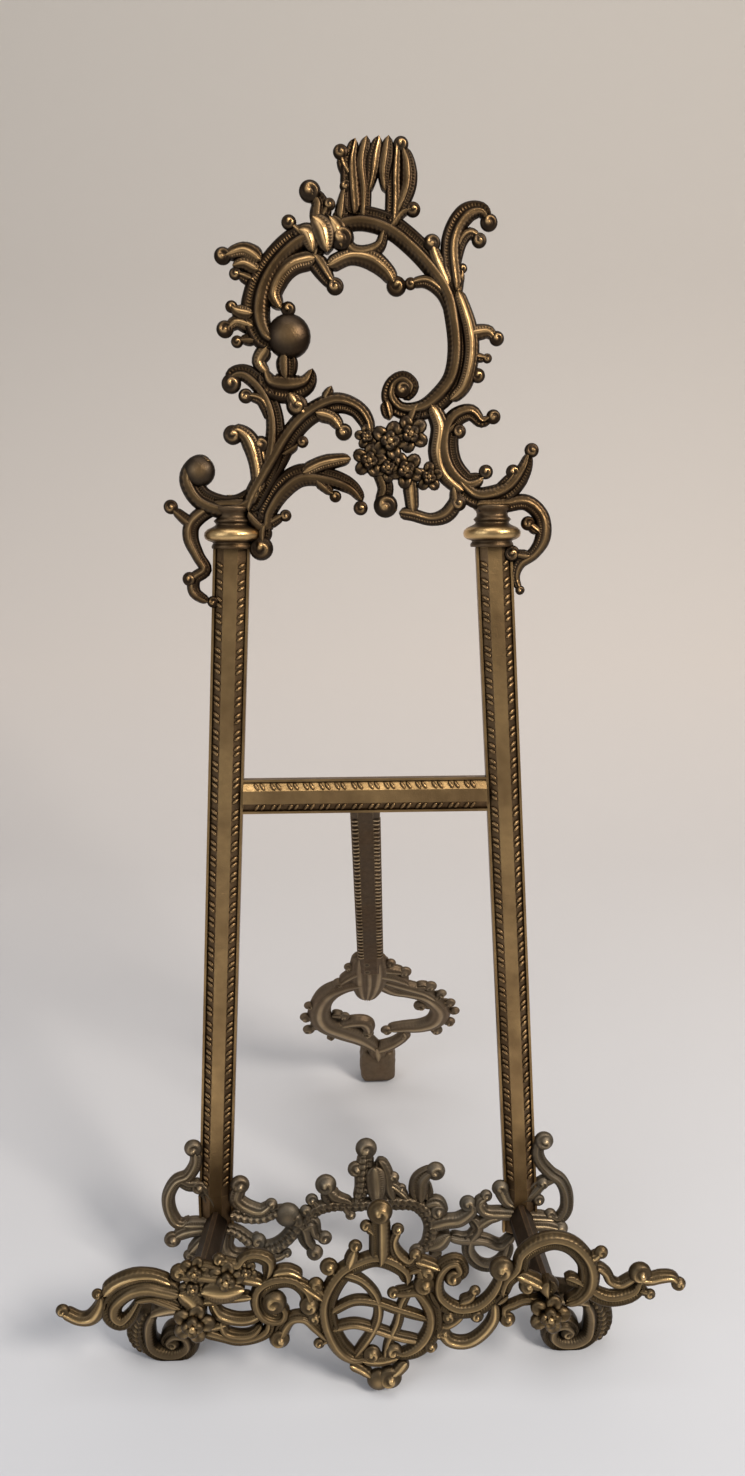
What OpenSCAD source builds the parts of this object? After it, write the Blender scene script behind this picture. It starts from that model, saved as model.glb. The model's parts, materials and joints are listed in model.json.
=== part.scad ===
// Rococo table stand for a photo album: a cast frame leaning back on a hinged
// leg, with two ledge arms and an openwork front rail that hold the album.
//
// World axes: X to the viewer's right, Y away from the viewer, Z up.
// The frame and its castings are drawn flat and stood up by on_frame():
//   x = across, y = up the leaning frame from the floor line, z = towards the viewer.
// A stroke is a list of [x, y, width]; a ball is [x, y, radius].

/* [Frame] */
// Angle that the frame leans back, degrees
lean = 14.4; // [8:0.1:22]
// Distance between the stile centre lines at their lower ends
base_gauge = 150; // [130:1:190]
// Angle that each stile leans in towards the top, degrees
splay = 3.2; // [1:0.1:5]
// Distance up the frame from the level of the arms' tops to the stile seats
seat_over = 7.346; // [4:0.002:20]
// Length of each stile
stile_len = 312; // [240:1:380]
// Width of a stile, the crossbar and its bevels
bar_w = 16; // [12:0.5:20]
// Thickness of a stile behind its bevels
bar_back = 3; // [2:0.1:5]
// Height of the raised flat band on a bar
band_rise = 2.6; // [1.5:0.1:4]
// Width of the raised flat band on a bar
band_w = 6; // [4:0.5:8]
// Width of the thin rim along a bar's edges
rim_w = 1.1; // [0.8:0.1:2]
// Distance from the stile seats up to the crossbar's centre line
crossbar_up = 200.4; // [150:1:230]

/* [Capitals] */
// Height of a capital
capital_h = 18; // [14:0.5:24]
// Radius of a capital's round ring
capital_r = 12; // [10:0.5:14]
// Distance that a capital's flat back lies behind the frame plane
capital_back = 4; // [3:0.5:6]
// Radius of the dowel through each capital
dowel_r = 1.5; // [1:0.1:1.8]
// Depth that the dowel goes into the stile
dowel_in_stile = 12; // [6:1:20]
// Depth that the dowel goes into the crest
dowel_in_crest = 5; // [3:0.5:7]

/* [Crest] */
// Height of the crest above the capitals
crest_h = 150; // [120:1:180]
// Thickness of the crest casting
crest_t = 4.8; // [4:0.1:7]

/* [Lower rail] */
// Thickness of the lower rail casting
lower_rail_t = 4; // [3:0.1:6]

/* [Ledge arms] */
// Height of the ledge arms' tops above the floor
arm_top = 51; // [46:0.5:65]
// Height of an arm's section
arm_h = 10; // [8:0.5:13]
// Width of an arm's section
arm_w = 11; // [9:0.5:14]
// Outward angle of an arm, degrees
arm_splay = 7; // [0:0.5:12]
// Room for the album between the frame and the front rail
album_room = 42; // [30:0.2:60]
// Screw radius of all the screws
screw_r = 1.5; // [1:0.1:1.8]
// Radius of the screw and rivet heads
head_r = 2.8; // [2.5:0.1:3.6]
// Height of the screw and rivet heads
head_h = 1.4; // [1:0.1:2.4]
// Depth that a screw holds in the piece it fastens
grip = 8; // [6:0.5:10]

/* [Front rail] */
// Thickness of the front rail casting
rail_t = 4; // [3:0.1:6]
// Overall width of the front rail
rail_w = 284; // [230:1:340]
// Height of the front rail from its pendant to its finial
rail_h = 97; // [80:1:120]
// Gap between the rail's pendant and the floor
floor_gap = 1.2; // [0.8:0.1:4]
// Radius of a rosette
rosette_r = 9; // [7:0.5:12]
// Thickness of a rosette
rosette_t = 4; // [3:0.5:6]

/* [Front feet] */
// Distance of each volute's centre from the middle of the stand
foot_out = 93.7; // [84:0.5:110]
// Thickness of a foot's scroll
foot_t = 9; // [6:0.5:12]
// Gap between the feet's front faces and the arms' front flanges
foot_gap = 0.4; // [0.2:0.1:3]
// Depth of metal worn off the underside of each foot
foot_worn = 0.7; // [0.3:0.1:1.5]

/* [Hinge and leg] */
// Distance from the crossbar's centre line down to the hinge pin
hinge_drop = 5.4; // [3:0.1:8]
// Distance of the hinge pin behind the frame plane
hinge_back = 10; // [8.5:0.5:16]
// Radius of the hinge pin
pin_r = 2; // [1.5:0.1:3]
// Running clearance round the hinge pin
pin_clear = 0.06; // [0.02:0.01:0.1]
// Side clearance between the leg and each ear
ear_gap = 0.4; // [0.2:0.05:0.8]
// Thickness of a bracket ear
ear_t = 2.4; // [1.8:0.1:4]
// Thickness of the bracket's plate
plate_t = 2; // [1.5:0.1:3]
// Width of the leg
leg_w = 14.4; // [10:0.2:20]
// Thickness of the leg
leg_t = 5; // [4:0.1:7]
// Angle between the frame and the open leg, degrees
leg_open = 33.9; // [26:0.1:42]
// Sideways slant of the leg, degrees
leg_slant = 1.6; // [0:0.1:3]
// Length of the plain part of the leg
leg_bar_len = 142; // [100:1:170]
// Thickness of the leg's foot ornament
foot_orn_t = 4; // [3:0.1:6]
// Length of the pad under the leg
pad_h = 25; // [18:0.5:32]
// Width of the pad at the floor
pad_w = 23; // [16:0.5:30]
// Depth of the pad at the floor
pad_d = 9; // [6:0.5:14]

/* [Hidden] */

$fn = 48;
big = 600;                       // longer than any piece, for cutting tools
over = 1;                        // how far a cutting tool runs past a face
step = 2.6;                      // spacing of the points along a stroke
weld = 0.3;                      // fillet left where strokes run together

LEFT = -1;
RIGHT = 1;
SIDES = [LEFT, RIGHT];

seat_up = arm_top / cos(lean) + seat_over;
stile_top = seat_up + stile_len;
crest_seat = stile_top + capital_h;
crossbar_y = seat_up + crossbar_up;
hinge_up = crossbar_y - hinge_drop;
bar_front = band_rise;

// Half the distance between the stile centre lines at a height up the frame.
function gauge(y) = base_gauge / 2 - (y - seat_up) * tan(splay);

rail_back = bar_front + album_room;
rail_mid = rail_back + rail_t / 2;
rail_front = rail_back + rail_t;
// Lowest point that the rail's back edge may reach, measured up the frame.
rail_low = (floor_gap - rail_back * sin(lean)) / cos(lean);

arm_mid_z = arm_top - arm_h / 2;
arm_root_y = arm_top * tan(lean);
// Distance of an arm's centre line from the middle at a world Y.
function arm_x(y) = gauge(seat_up) - 0.3 + (arm_root_y - y) * tan(arm_splay);
// Height up the frame plane of a point z mm above the floor and n mm in front.
function up_frame(z, n) = (z - n * sin(lean)) / cos(lean);
// World Y of a point y up the frame and n in front of it.
function world_y(y, n) = y * sin(lean) - n * cos(lean);

pin_z = hinge_up * cos(lean) - hinge_back * sin(lean);
leg_angle = leg_open - lean;     // the leg's angle from the vertical, at rest
leg_swing = 90 - leg_angle;
leg_len = pin_z / cos(leg_angle);
orn_start = leg_bar_len - 12;    // where the foot ornament laps the leg
hub_r = leg_t / 2 + 1.5;

// World Y half way between the rail's front edge and the leg pad's back edge.
pin_y = world_y(hinge_up, -hinge_back);
pad_back_y = pin_y + leg_len * cos(leg_swing) * cos(leg_slant)
    + (foot_orn_t + pad_d) / 2 / sin(leg_swing);
stand_mid_y = (world_y(rail_low, rail_front) + pad_back_y) / 2;

// ---- castings drawn as strokes -------------------------------------------------

// Point on the smooth curve through a, b, c, d at t from b to c.
function blend_pt(a, b, c, d, t) =
    0.5 * (2 * b + (c - a) * t + (2 * a - 5 * b + 4 * c - d) * t * t
           + (3 * b - a - 3 * c + d) * t * t * t);
function at(p, i) = p[max(0, min(len(p) - 1, i))];
function flat(p) = [p.x, p.y];
function steps(a, b) = max(1, round(norm(flat(b) - flat(a)) / step));
function smooth(p) = [
    for (i = [0 : len(p) - 2])
        for (j = [0 : steps(p[i], p[i + 1]) - 1])
            blend_pt(at(p, i - 1), p[i], p[i + 1], at(p, i + 2), j / steps(p[i], p[i + 1])),
    p[len(p) - 1]
];
function side_way(p, i) =
    let (d = flat(at(p, i + 1)) - flat(at(p, i - 1))) [-d.y, d.x] / max(norm(d), 0.001);

module stroke(points) {
    line = smooth(points);
    for (i = [0 : len(line) - 2]) {
        a = line[i];
        b = line[i + 1];
        na = side_way(line, i) * a[2] / 2;
        nb = side_way(line, i + 1) * b[2] / 2;
        polygon([flat(a) + na, flat(b) + nb, flat(b) - nb, flat(a) - na]);
    }
    for (p = [points[0], points[len(points) - 1]])
        translate(flat(p)) circle(p[2] / 2, $fn = 14);
}

// One casting of thickness t: every stroke and ball, run together.
module casting(strokes, balls, t) {
    translate([0, 0, -t / 2]) linear_extrude(t) offset(delta = -weld) offset(delta = 2 * weld)
        offset(delta = -weld) {
            for (s = strokes) stroke(s);
            for (b = balls) translate(flat(b)) circle(b[2], $fn = 20);
        }
}

// Drawn points moved to the casting's real size: kx and ky stretch, y0 lifts.
function placed(list, kx, ky, y0) =
    [for (s = list) [for (p = s) [p.x * kx, y0 + p.y * ky, p[2]]]];
function placed_balls(list, kx, ky, y0) = [for (p = list) [p.x * kx, y0 + p.y * ky, p[2]]];

module on_frame() {
    rotate([90 - lean, 0, 0]) children();
}

// Moves the stand so that the origin is on the floor under its middle.
module centred() {
    translate([0, -stand_mid_y, 0]) children();
}

// ---- crest ---------------------------------------------------------------------
// Drawn 150 high for capitals whose centres are 114 apart, from y = 0 at its seat.

CREST_STROKES = [
    // right side of the great ring, ending in its volute
    [[-12, 115, 7], [0, 117, 7], [12, 114, 7], [22, 107, 7], [31, 98, 7], [38, 88, 7], [41, 76, 7],
     [42, 64, 7], [40, 53, 7], [34, 45, 7], [26, 40, 6], [17, 40, 5], [12, 45, 5], [13, 51, 4],
     [18, 53.5, 4], [22, 50, 4]],
    // left side of the great ring, ending in its bulb
    [[-18, 112, 7], [-28, 108, 8], [-37, 100, 8], [-43, 90, 9], [-45, 79, 10], [-42, 70, 10],
     [-36, 67, 9]],
    // vase neck, dish and stem under the bulb
    [[-32, 64, 8], [-32, 52, 8]],
    [[-42, 57, 4], [-40, 51, 8], [-32, 49, 10], [-24, 51, 8], [-21, 57, 4]],
    [[-31, 47, 7], [-28, 42, 6], [-24, 38, 5]],
    [[-40, 66, 5], [-44, 60, 5], [-40, 55, 4]],
    // inner scrolls hanging from the top of the ring
    [[-19, 101, 6], [-28, 99, 6], [-34, 94, 6], [-37, 87, 6], [-34, 81, 5]],
    [[-20, 102, 6], [-16, 96, 6], [-13, 92, 5], [-10, 91, 4]],
    [[-14, 98, 5], [-5, 102, 5], [4, 101, 6], [11, 96, 6], [14, 91, 6]],
    [[-8, 110, 4], [-4, 104, 5], [2, 103, 5], [8, 106, 4], [10, 112, 4]],
    [[-17, 111, 6], [-19, 101, 6]],
    // plume
    [[-3, 118, 7], [-3, 130, 7], [-2, 140, 6], [0, 146, 5]],
    [[12, 116, 7], [16, 127, 8], [16, 138, 8], [14, 144, 6]],
    [[-1, 139, 7], [5, 142, 12], [13, 142, 9]],
    [[15, 119, 6], [20, 129, 5], [18, 138, 4]],
    [[-3, 131, 4], [-5, 138, 4], [-5, 142, 4]],
    [[-8, 116, 5], [-7, 124, 4], [-6, 129, 3]],
    [[12, 113, 4], [17, 119, 4], [21, 120, 4]],
    // curls left of the plume
    [[-12, 113, 6], [-17, 117, 6], [-17, 123, 6], [-21, 127, 6]],
    [[-24, 109, 5], [-29, 114, 4]],
    [[-16, 116, 4], [-13, 122, 4]],
    // leaves on the left of the ring
    [[-42, 100, 6], [-49, 104, 6], [-57, 102, 5]],
    [[-43, 96, 5], [-49, 99, 5], [-54, 98, 4]],
    [[-45, 92, 5], [-52, 95, 4]],
    [[-46, 79, 6], [-52, 80, 6], [-55, 82, 4]],
    [[-46, 74, 6], [-53, 76, 5], [-57, 73, 5]],
    [[-45, 69, 5], [-52, 69, 4]],
    // leaves on the right of the ring
    [[40, 88, 6], [38, 104, 6], [40, 113, 6], [45, 119, 6], [51, 120, 5], [54, 116, 4]],
    [[39, 96, 4], [42, 107, 4], [46, 111, 4], [50, 109, 4]],
    [[40, 86, 4], [43, 96, 3]],
    [[37, 90, 5], [32, 101, 5], [30, 107, 5]],
    [[40, 78, 5], [35, 87, 4], [28, 92, 4], [21, 91, 4]],
    [[41, 88, 4], [46, 74, 5], [47, 62, 5], [44, 50, 5], [38, 44, 5]],
    [[46, 71, 5], [54, 72, 5], [57, 69, 4]],
    [[46, 62, 4], [54, 61, 3]],
    [[44, 53, 4], [50, 54, 4]],
    // branches rising from the left capital
    [[-50, -2, 7], [-46, 6, 8], [-38, 19, 8], [-31, 30, 7], [-23, 38, 7], [-12, 43, 7], [-3, 41, 6],
     [2, 35, 6], [3, 28, 5]],
    [[-20, 39, 5], [-13, 37, 5], [-9, 32, 5]],
    [[-16, 44, 5], [-13, 50, 3]],
    [[-35, 22, 4], [-28, 26, 4]],
    [[-46, 4, 6], [-41, 15, 7], [-38, 26, 7], [-38, 38, 6], [-42, 48, 6], [-49, 55, 6], [-55, 55, 6],
     [-57, 51, 5]],
    [[-39, 36, 4], [-43, 44, 4], [-49, 46, 4]],
    [[-45, 6, 5], [-46, 18, 5], [-49, 28, 6], [-54, 32, 5], [-56, 30, 4]],
    [[-42, 14, 4], [-44, 25, 4]],
    [[-46, 6, 6], [-54, 1, 7], [-62, 0, 8], [-71, 4, 8], [-75, 12, 8], [-72, 18, 7], [-66, 19, 6]],
    // lower leaves, from the left capital to the flowers
    [[-50, -2, 5], [-44, -8, 6], [-42, -2, 6], [-36, 7, 7], [-27, 13, 7], [-15, 12, 6], [-5, 8, 5],
     [0, 2, 4]],
    [[-26, 14, 5], [-17, 18, 5], [-5, 20, 5]],
    [[-20, 11, 4], [-13, 5, 4]],
    [[-42, -8, 4], [-35, -4, 4]],
    [[-43, -8, 6], [-44, -16, 6]],
    // stems round the flowers, and the band under them
    [[30, 42, 5], [34, 33, 6], [33, 22, 6], [36, 13, 5], [44, 6, 6]],
    [[24, 42, 5], [21, 34, 7]],
    [[10, 44, 4], [12, 36, 6]],
    [[6, 18, 5], [10, 8, 5], [9, 1, 5], [15, -2, 5]],
    [[16, -3, 4], [22, -4, 4], [30, -6, 4], [37, -4, 5], [41, 2, 5], [40, 8, 5]],
    [[22, -3, 4], [21, 8, 5], [20, 16, 6]],
    // right hand scrolls
    [[53, 12, 4], [46, 10, 6], [39, 17, 7], [37, 27, 7], [40, 36, 6], [47, 39, 5], [52, 35, 4],
     [56, 37, 4]],
    [[34, 30, 5], [40, 34, 5]],
    [[40, 12, 6], [48, 4, 7], [56, 3, 8], [65, 7, 7], [71, 15, 6], [73, 22, 4]],
    [[60, 6, 4], [66, 13, 4]],
    // brackets beside the capitals
    [[50, 0, 6], [62, 0, 5], [72, 1, 5], [79, -5, 5], [80, -14, 5], [76, -21, 4], [70, -25, 4],
     [68, -31, 3], [70, -37, 3]],
    [[78, -12, 4], [73, -8, 4]],
    [[74, -22, 4], [67, -21, 4]],
    [[-50, 0, 6], [-64, 0, 5], [-74, -6, 5], [-76, -13, 5], [-73, -21, 4], [-70, -27, 4],
     [-75, -31, 4], [-75, -37, 4], [-69, -41, 4]],
    [[-76, -7, 4], [-83, -1, 4]]
];

CREST_BALLS = [
    [-32, 70, 8.8], [-28, 42, 4.5], [-31, 81, 3], [-11, 90, 3.5], [15, 90, 4], [-17, 111, 7],
    [-8, 110, 5], [-5, 142, 3.5], [-6, 129, 2.5], [22, 120, 3], [-21, 127, 4.3], [-13, 122, 2.5],
    [-30, 115, 3], [-58, 102, 3.5], [-53, 95, 2.5], [-55, 82, 2.5], [-58, 73, 3.5], [-53, 68, 2.5],
    [54, 115, 3.5], [50, 108, 3], [43, 97, 2], [30, 107, 3.5], [21, 91, 2.5], [58, 69, 3],
    [54, 61, 2], [50, 54, 3], [-8, 31, 3.5], [-26, 27, 2.5], [-56, 51, 4], [-50, 46, 3],
    [-56, 30, 4], [-44, 26, 3.5], [-67, 14, 4], [42, 31, 3], [54, 14, 3], [57, 37, 3],
    [74, 23, 3], [66, 14, 3], [73, -8, 3], [66, -21, 3.5], [70, -37, 2], [-84, 0, 3],
    [-77, -31, 3], [-67, -41, 2.5], [-1, -1, 3], [-12, 4, 2.5], [-34, -4, 2.5], [-45, -18, 5],
    [10, 0, 5], [42, 1, 3.5],
    // flower heads
    [14, 24, 9], [10, 33, 4.5], [19, 34, 4.5], [24, 25, 5], [0, 20, 5.5], [9, 20, 5],
    [18, 15, 6], [28, 14, 5.5], [4, 28, 5]
];

crest_drawn_gauge = 114.2;
crest_drawn_h = 150;
crest_foot_w = 19;               // width of the crest's flat over each capital
crest_foot_h = 6;
capital_gap = 1;                 // room between a capital and the scrolls beside it
crest_kx = 2 * gauge(crest_seat) / crest_drawn_gauge;
crest_ky = crest_h / crest_drawn_h;

module crest() {
    color([0.36, 0.27, 0.18]) on_frame() difference() {
        union() {
            difference() {
                casting(placed(CREST_STROKES, crest_kx, crest_ky, crest_seat),
                        placed_balls(CREST_BALLS, crest_kx, crest_ky, crest_seat), crest_t);
                for (side = SIDES) capital_room(side);
            }
            for (side = SIDES)
                translate([side * gauge(crest_seat) - crest_foot_w / 2, crest_seat, -crest_t / 2])
                    cube([crest_foot_w, crest_foot_h, crest_t]);
        }
        for (side = SIDES) dowel_hole(side);
    }
}

// The space that a capital and the stile under it take out of the crest.
module capital_room(side) {
    room_w = 2 * capital_r + capital_gap;
    translate([side * gauge(stile_top + capital_h / 2) - room_w / 2, stile_top, -big / 2])
        cube([room_w, capital_h, big]);
    on_stile(side) translate([-bar_w / 2, stile_len - big, -big / 2]) cube([bar_w, big, big]);
}

// ---- stiles, crossbar, capitals ----------------------------------------------------

// Along a stile's own centre line: y = 0 at its seat, running up the stile.
module on_stile(side) {
    translate([side * gauge(seat_up), seat_up, 0]) rotate([0, 0, side * splay]) children();
}

// Half-section of a bar, from its middle out to its rim.
function bar_half(s) = [
    [s * band_w / 2, band_rise], [s * (bar_w / 2 - rim_w - 0.4), 0.3],
    [s * (bar_w / 2 - rim_w), 1], [s * bar_w / 2, 1], [s * bar_w / 2, -bar_back]
];
function reversed(p) = [for (i = [len(p) - 1 : -1 : 0]) p[i]];

// A bar lying along +Y from y = 0, its bevelled face towards +Z.
module bar(length) {
    rotate([90, 0, 0]) mirror([0, 0, 1]) linear_extrude(length)
        polygon(concat(bar_half(1), reversed(bar_half(-1))));
}

module stile(side) {
    color([0.55, 0.42, 0.24]) on_frame() difference() {
        on_stile(side) bar(stile_len / cos(splay) + over);
        translate([-big / 2, stile_top, -big / 2]) cube(big);
        translate([-big / 2, seat_up - big, -big / 2]) cube(big);
        dowel_hole(side);
    }
}

module crossbar() {
    half = gauge(crossbar_y);
    color([0.62, 0.47, 0.25]) on_frame() difference() {
        translate([half, crossbar_y, 0]) rotate([0, 0, 90]) bar(2 * half);
        for (side = SIDES)
            on_stile(side)
                translate([side > 0 ? -bar_w / 2 : bar_w / 2 - big, 0, -big / 2])
                    cube([big, big, big]);
        for (s = SIDES) bracket_rivet_hole(s);
    }
}

// Outline of a capital from its axis out, drawn upward from the stile's top.
module capital_profile() {
    polygon([[0, 0], [capital_r - 2.5, 0], [capital_r - 2.5, 1.6], [0, 1.6]]);
    translate([0, 1.4]) square([capital_r - 4, 8.2]);
    translate([capital_r - 4, 5.5]) circle(4);
    translate([0, 9]) square([capital_r - 5, capital_h - 9]);
    translate([capital_r - 5, 12.6]) circle(1.7);
    polygon([[0, capital_h - 3.6], [capital_r - 5, capital_h - 3.6], [capital_r - 1.5, capital_h - 1.2],
             [capital_r - 1.5, capital_h], [0, capital_h]]);
}

// Turned about an axis on the frame plane's back side and left flat behind.
module capital(side) {
    color([0.5, 0.38, 0.22]) on_frame() difference() {
        translate([side * gauge(stile_top + capital_h / 2), stile_top, 1 - capital_back])
            rotate([-90, 0, 0]) rotate_extrude($fn = 64)
                intersection() {
                    capital_profile();
                    square([capital_r, capital_h]);
                }
        translate([-big / 2, 0, -capital_back - big]) cube(big);
        dowel_hole(side);
    }
}

module dowel(side) {
    translate([side * gauge(stile_top), stile_top - dowel_in_stile, 0]) rotate([-90, 0, 0])
        cylinder(h = dowel_in_stile + capital_h + dowel_in_crest, r = dowel_r);
}

module dowel_hole(side) {
    dowel(side);
}

module capital_dowels() {
    color([0.6, 0.5, 0.3]) on_frame() for (side = SIDES) dowel(side);
}

// ---- lower rail ------------------------------------------------------------------
// Drawn for seats 150 apart, from y = 0 at the stile seats.

LOWER_STROKES = [
    // left outer wing
    [[-84, 25, 5], [-84, 19, 5], [-88, 12, 5], [-94, 9, 5], [-98, 2, 5], [-98, -6, 5], [-95, -13, 5],
     [-91, -14, 5], [-89, -11, 4]],
    [[-93, 10, 4], [-88, 7, 5], [-82, 6, 5], [-76, -4, 6]],
    [[-91, -14, 5], [-84, -14, 6], [-76, -14, 8]],
    [[-96, -21, 5], [-90, -18, 6], [-80, -16, 8]],
    [[-89, -30, 4], [-84, -24, 5], [-78, -18, 6]],
    // left inner scrolls
    [[-63, 6, 6], [-65, -1, 6], [-60, -6, 6], [-53, -8, 6], [-48, -4, 5]],
    [[-68, -8, 8], [-60, -11, 6], [-52, -11, 6], [-44, -8, 6], [-40, -9, 8]],
    [[-40, -8, 8], [-36, -14, 8], [-39, -21, 7], [-46, -27, 7], [-54, -28, 7], [-60, -23, 6],
     [-66, -18, 6], [-72, -16, 7]],
    [[-58, -22, 5], [-54, -23, 6]],
    [[-54, -28, 5], [-47, -33, 5], [-41, -31, 4]],
    [[-70, -18, 7], [-71, -27, 6], [-66, -32, 5], [-56, -30, 5]],
    // centre left
    [[-38, -14, 7], [-33, -18, 7], [-31, -25, 6], [-27, -30, 6]],
    [[-33, -17, 7], [-28, -15, 6], [-26, -21, 5], [-22, -23, 5]],
    [[-31, -16, 6], [-27, -9, 6], [-20, -6, 6], [-12, -6, 5], [-6, -6, 6], [4, -5, 7]],
    [[-12, -6, 4], [-9, -11, 4]],
    [[-27, -10, 4], [-31, -7, 5]],
    [[-25, -8, 4], [-28, -2, 5]],
    [[-21, 4, 7], [-18, -1, 8], [-13, -3, 6], [-8, -4, 6]],
    // finial and its leaf
    [[-1, 23, 7], [-2, 14, 8], [-3, 4, 8], [-6, -4, 7]],
    [[5, 19, 5], [8, 12, 6], [9, 3, 8], [12, -3, 8]],
    [[3, 16, 9], [4, 6, 11], [4, -4, 9]],
    [[-4, 16, 4], [-6, 14, 5]],
    [[10, 6, 5], [15, 2, 4], [19, -2, 5]],
    // arch and ring, centre right
    [[4, -5, 7], [14, -5, 7], [23, -6, 7], [29, -12, 7], [31, -20, 7], [29, -28, 7], [24, -32, 6]],
    [[25, -4, 7], [25, 6, 8], [29, 11, 6], [33, 12, 5]],
    [[29, -3, 6], [29, 6, 4]],
    [[28, -6, 5], [34, -5, 5], [37, -10, 4], [33, -12, 4]],
    [[30, -18, 6], [38, -16, 6], [45, -15, 6], [51, -10, 6], [50, -6, 5]],
    [[29, -30, 6], [35, -27, 9], [40, -22, 7]],
    [[30, -36, 5], [36, -32, 7]],
    [[40, -24, 5], [46, -26, 5], [52, -26, 6], [58, -27, 5], [66, -30, 5], [72, -24, 6]],
    [[51, -14, 5], [54, -20, 5], [50, -27, 5], [50, -34, 5], [55, -40, 5], [62, -41, 5], [68, -36, 5],
     [70, -28, 6]],
    [[58, -3, 4], [55, -6, 5], [58, -11, 5], [66, -12, 6], [74, -12, 8]],
    [[54, -19, 5], [60, -15, 5], [66, -14, 5]],
    // right outer wing
    [[89, 26, 4], [85, 27, 5], [83, 21, 5], [85, 15, 5], [90, 9, 5], [95, 5, 5], [98, -2, 5],
     [98, -11, 5], [94, -16, 5], [89, -13, 5]],
    [[93, 7, 4], [86, 4, 5], [80, -2, 6], [74, -6, 6]],
    [[92, -16, 4], [84, -15, 6], [76, -14, 8]],
    [[95, -21, 5], [88, -19, 6], [78, -18, 8]],
    [[65, 2, 6], [68, -5, 6], [72, -8, 6]]
];

LOWER_BALLS = [
    [-85, 27, 4.2], [-97, -22, 4], [-89, -31, 3], [-63, 7, 4.5], [-48, -4, 3], [-40, -10, 7],
    [-55, -24, 4], [-41, -31, 2.5], [-27, -31, 4], [-22, -23, 3.5], [-9, -11, 2.5], [-31, -8, 3],
    [-28, -2, 3], [-21, 6, 5], [-1, 25, 5], [-6, 14, 4], [12, 9, 3], [16, 3, 2.5], [24, -32, 4],
    [33, 12, 4.5], [34, -10, 4], [49, -6, 4], [58, -2, 3], [86, 27, 4.5], [65, 2, 4], [84, -5, 3],
    [95, -21, 4], [90, -13, 3], [-83, 6, 3.5], [86, 4, 3]
];

socket_w = bar_w + 1;
socket_h = 24;
lower_drawn_gauge = 150;
lower_kx = base_gauge / lower_drawn_gauge;
lower_rail_y = seat_up - 1.5;

module lower_rail() {
    color([0.42, 0.39, 0.32]) on_frame() difference() {
        union() {
            difference() {
                casting(placed(LOWER_STROKES, lower_kx, 1, lower_rail_y),
                        placed_balls(LOWER_BALLS, lower_kx, 1, lower_rail_y), lower_rail_t);
                for (side = SIDES) stile_room(side);
            }
            for (side = SIDES)
                translate([side * gauge(seat_up) - socket_w / 2, seat_up - socket_h,
                           -lower_rail_t / 2])
                    cube([socket_w, socket_h, lower_rail_t]);
        }
        for (side = SIDES) arm_screw_hole(side);
    }
}

// The space that a stile takes out of the lower rail, above its seat.
module stile_room(side) {
    on_stile(side) translate([-bar_w / 2, 0, -big / 2]) cube([bar_w, big, big]);
}

// ---- ledge arms ------------------------------------------------------------------

arm_ridge = 2.4;                 // width of the flat along the arm's top
arm_cheek = 4.5;                 // height of the arm's upright sides
arm_front_n = rail_back;
arm_back_n = lower_rail_t / 2;
arm_screw_drop = 3.5;            // how far the arm screws are under the arm's middle
arm_screw_y = up_frame(arm_mid_z - arm_screw_drop, arm_back_n);
arm_front_y = world_y(up_frame(arm_mid_z, arm_front_n), arm_front_n);
arm_end_x = arm_x(arm_front_y);
flange_t = 3;
rosette_drop = 12;               // how far a rosette's centre is under the arm's top
flange_w = arm_w;

function rosette_y() = up_frame(arm_top, rail_back) - rosette_drop;
rosette_x = arm_end_x;

module arm(side) {
    color([0.24, 0.17, 0.12]) difference() {
        union() {
            intersection() {
                translate([side * arm_x(arm_root_y), arm_root_y, arm_top - arm_h])
                    rotate([0, 0, side * arm_splay]) arm_section_run();
                on_frame() translate([-big / 2, -big / 2, arm_back_n])
                    cube([big, big, arm_front_n - arm_back_n]);
            }
            on_frame()
                translate([side * rosette_x - flange_w / 2, rosette_y() - rosette_r * 0.6,
                           arm_front_n - flange_t])
                    cube([flange_w, rosette_r * 0.6 + rosette_drop - arm_h / 2, flange_t]);
        }
        on_frame() {
            arm_screw_hole(side);
            rosette_stud(side);
        }
        foot_screw_hole(side);
    }
}

// The arm's gabled section, run both ways past the planes that trim it.
module arm_section_run() {
    rotate([90, 0, 0]) translate([0, 0, -big / 4]) linear_extrude(big / 2) polygon([
        [-arm_w / 2, 0], [arm_w / 2, 0], [arm_w / 2, arm_cheek],
        [arm_ridge / 2, arm_h], [-arm_ridge / 2, arm_h], [-arm_w / 2, arm_cheek]
    ]);
}

// A round-headed screw along +Z with its head below z = 0.
module screw(length) {
    cylinder(h = length, r = screw_r);
    translate([0, 0, -head_h]) cylinder(h = head_h, r = head_r);
}

module arm_screw_place(side) {
    translate([side * arm_x(arm_root_y), arm_screw_y, -lower_rail_t / 2]) children();
}

module arm_screw_hole(side) {
    arm_screw_place(side) translate([0, 0, -over])
        cylinder(h = lower_rail_t + grip + over, r = screw_r);
}

module arm_screws() {
    color([0.5, 0.42, 0.28]) on_frame() for (side = SIDES)
        arm_screw_place(side) screw(lower_rail_t + grip);
}

// ---- front rail ------------------------------------------------------------------
// Drawn 284 wide and 97 high; its pendant's lowest point is at y = -10.5.

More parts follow.
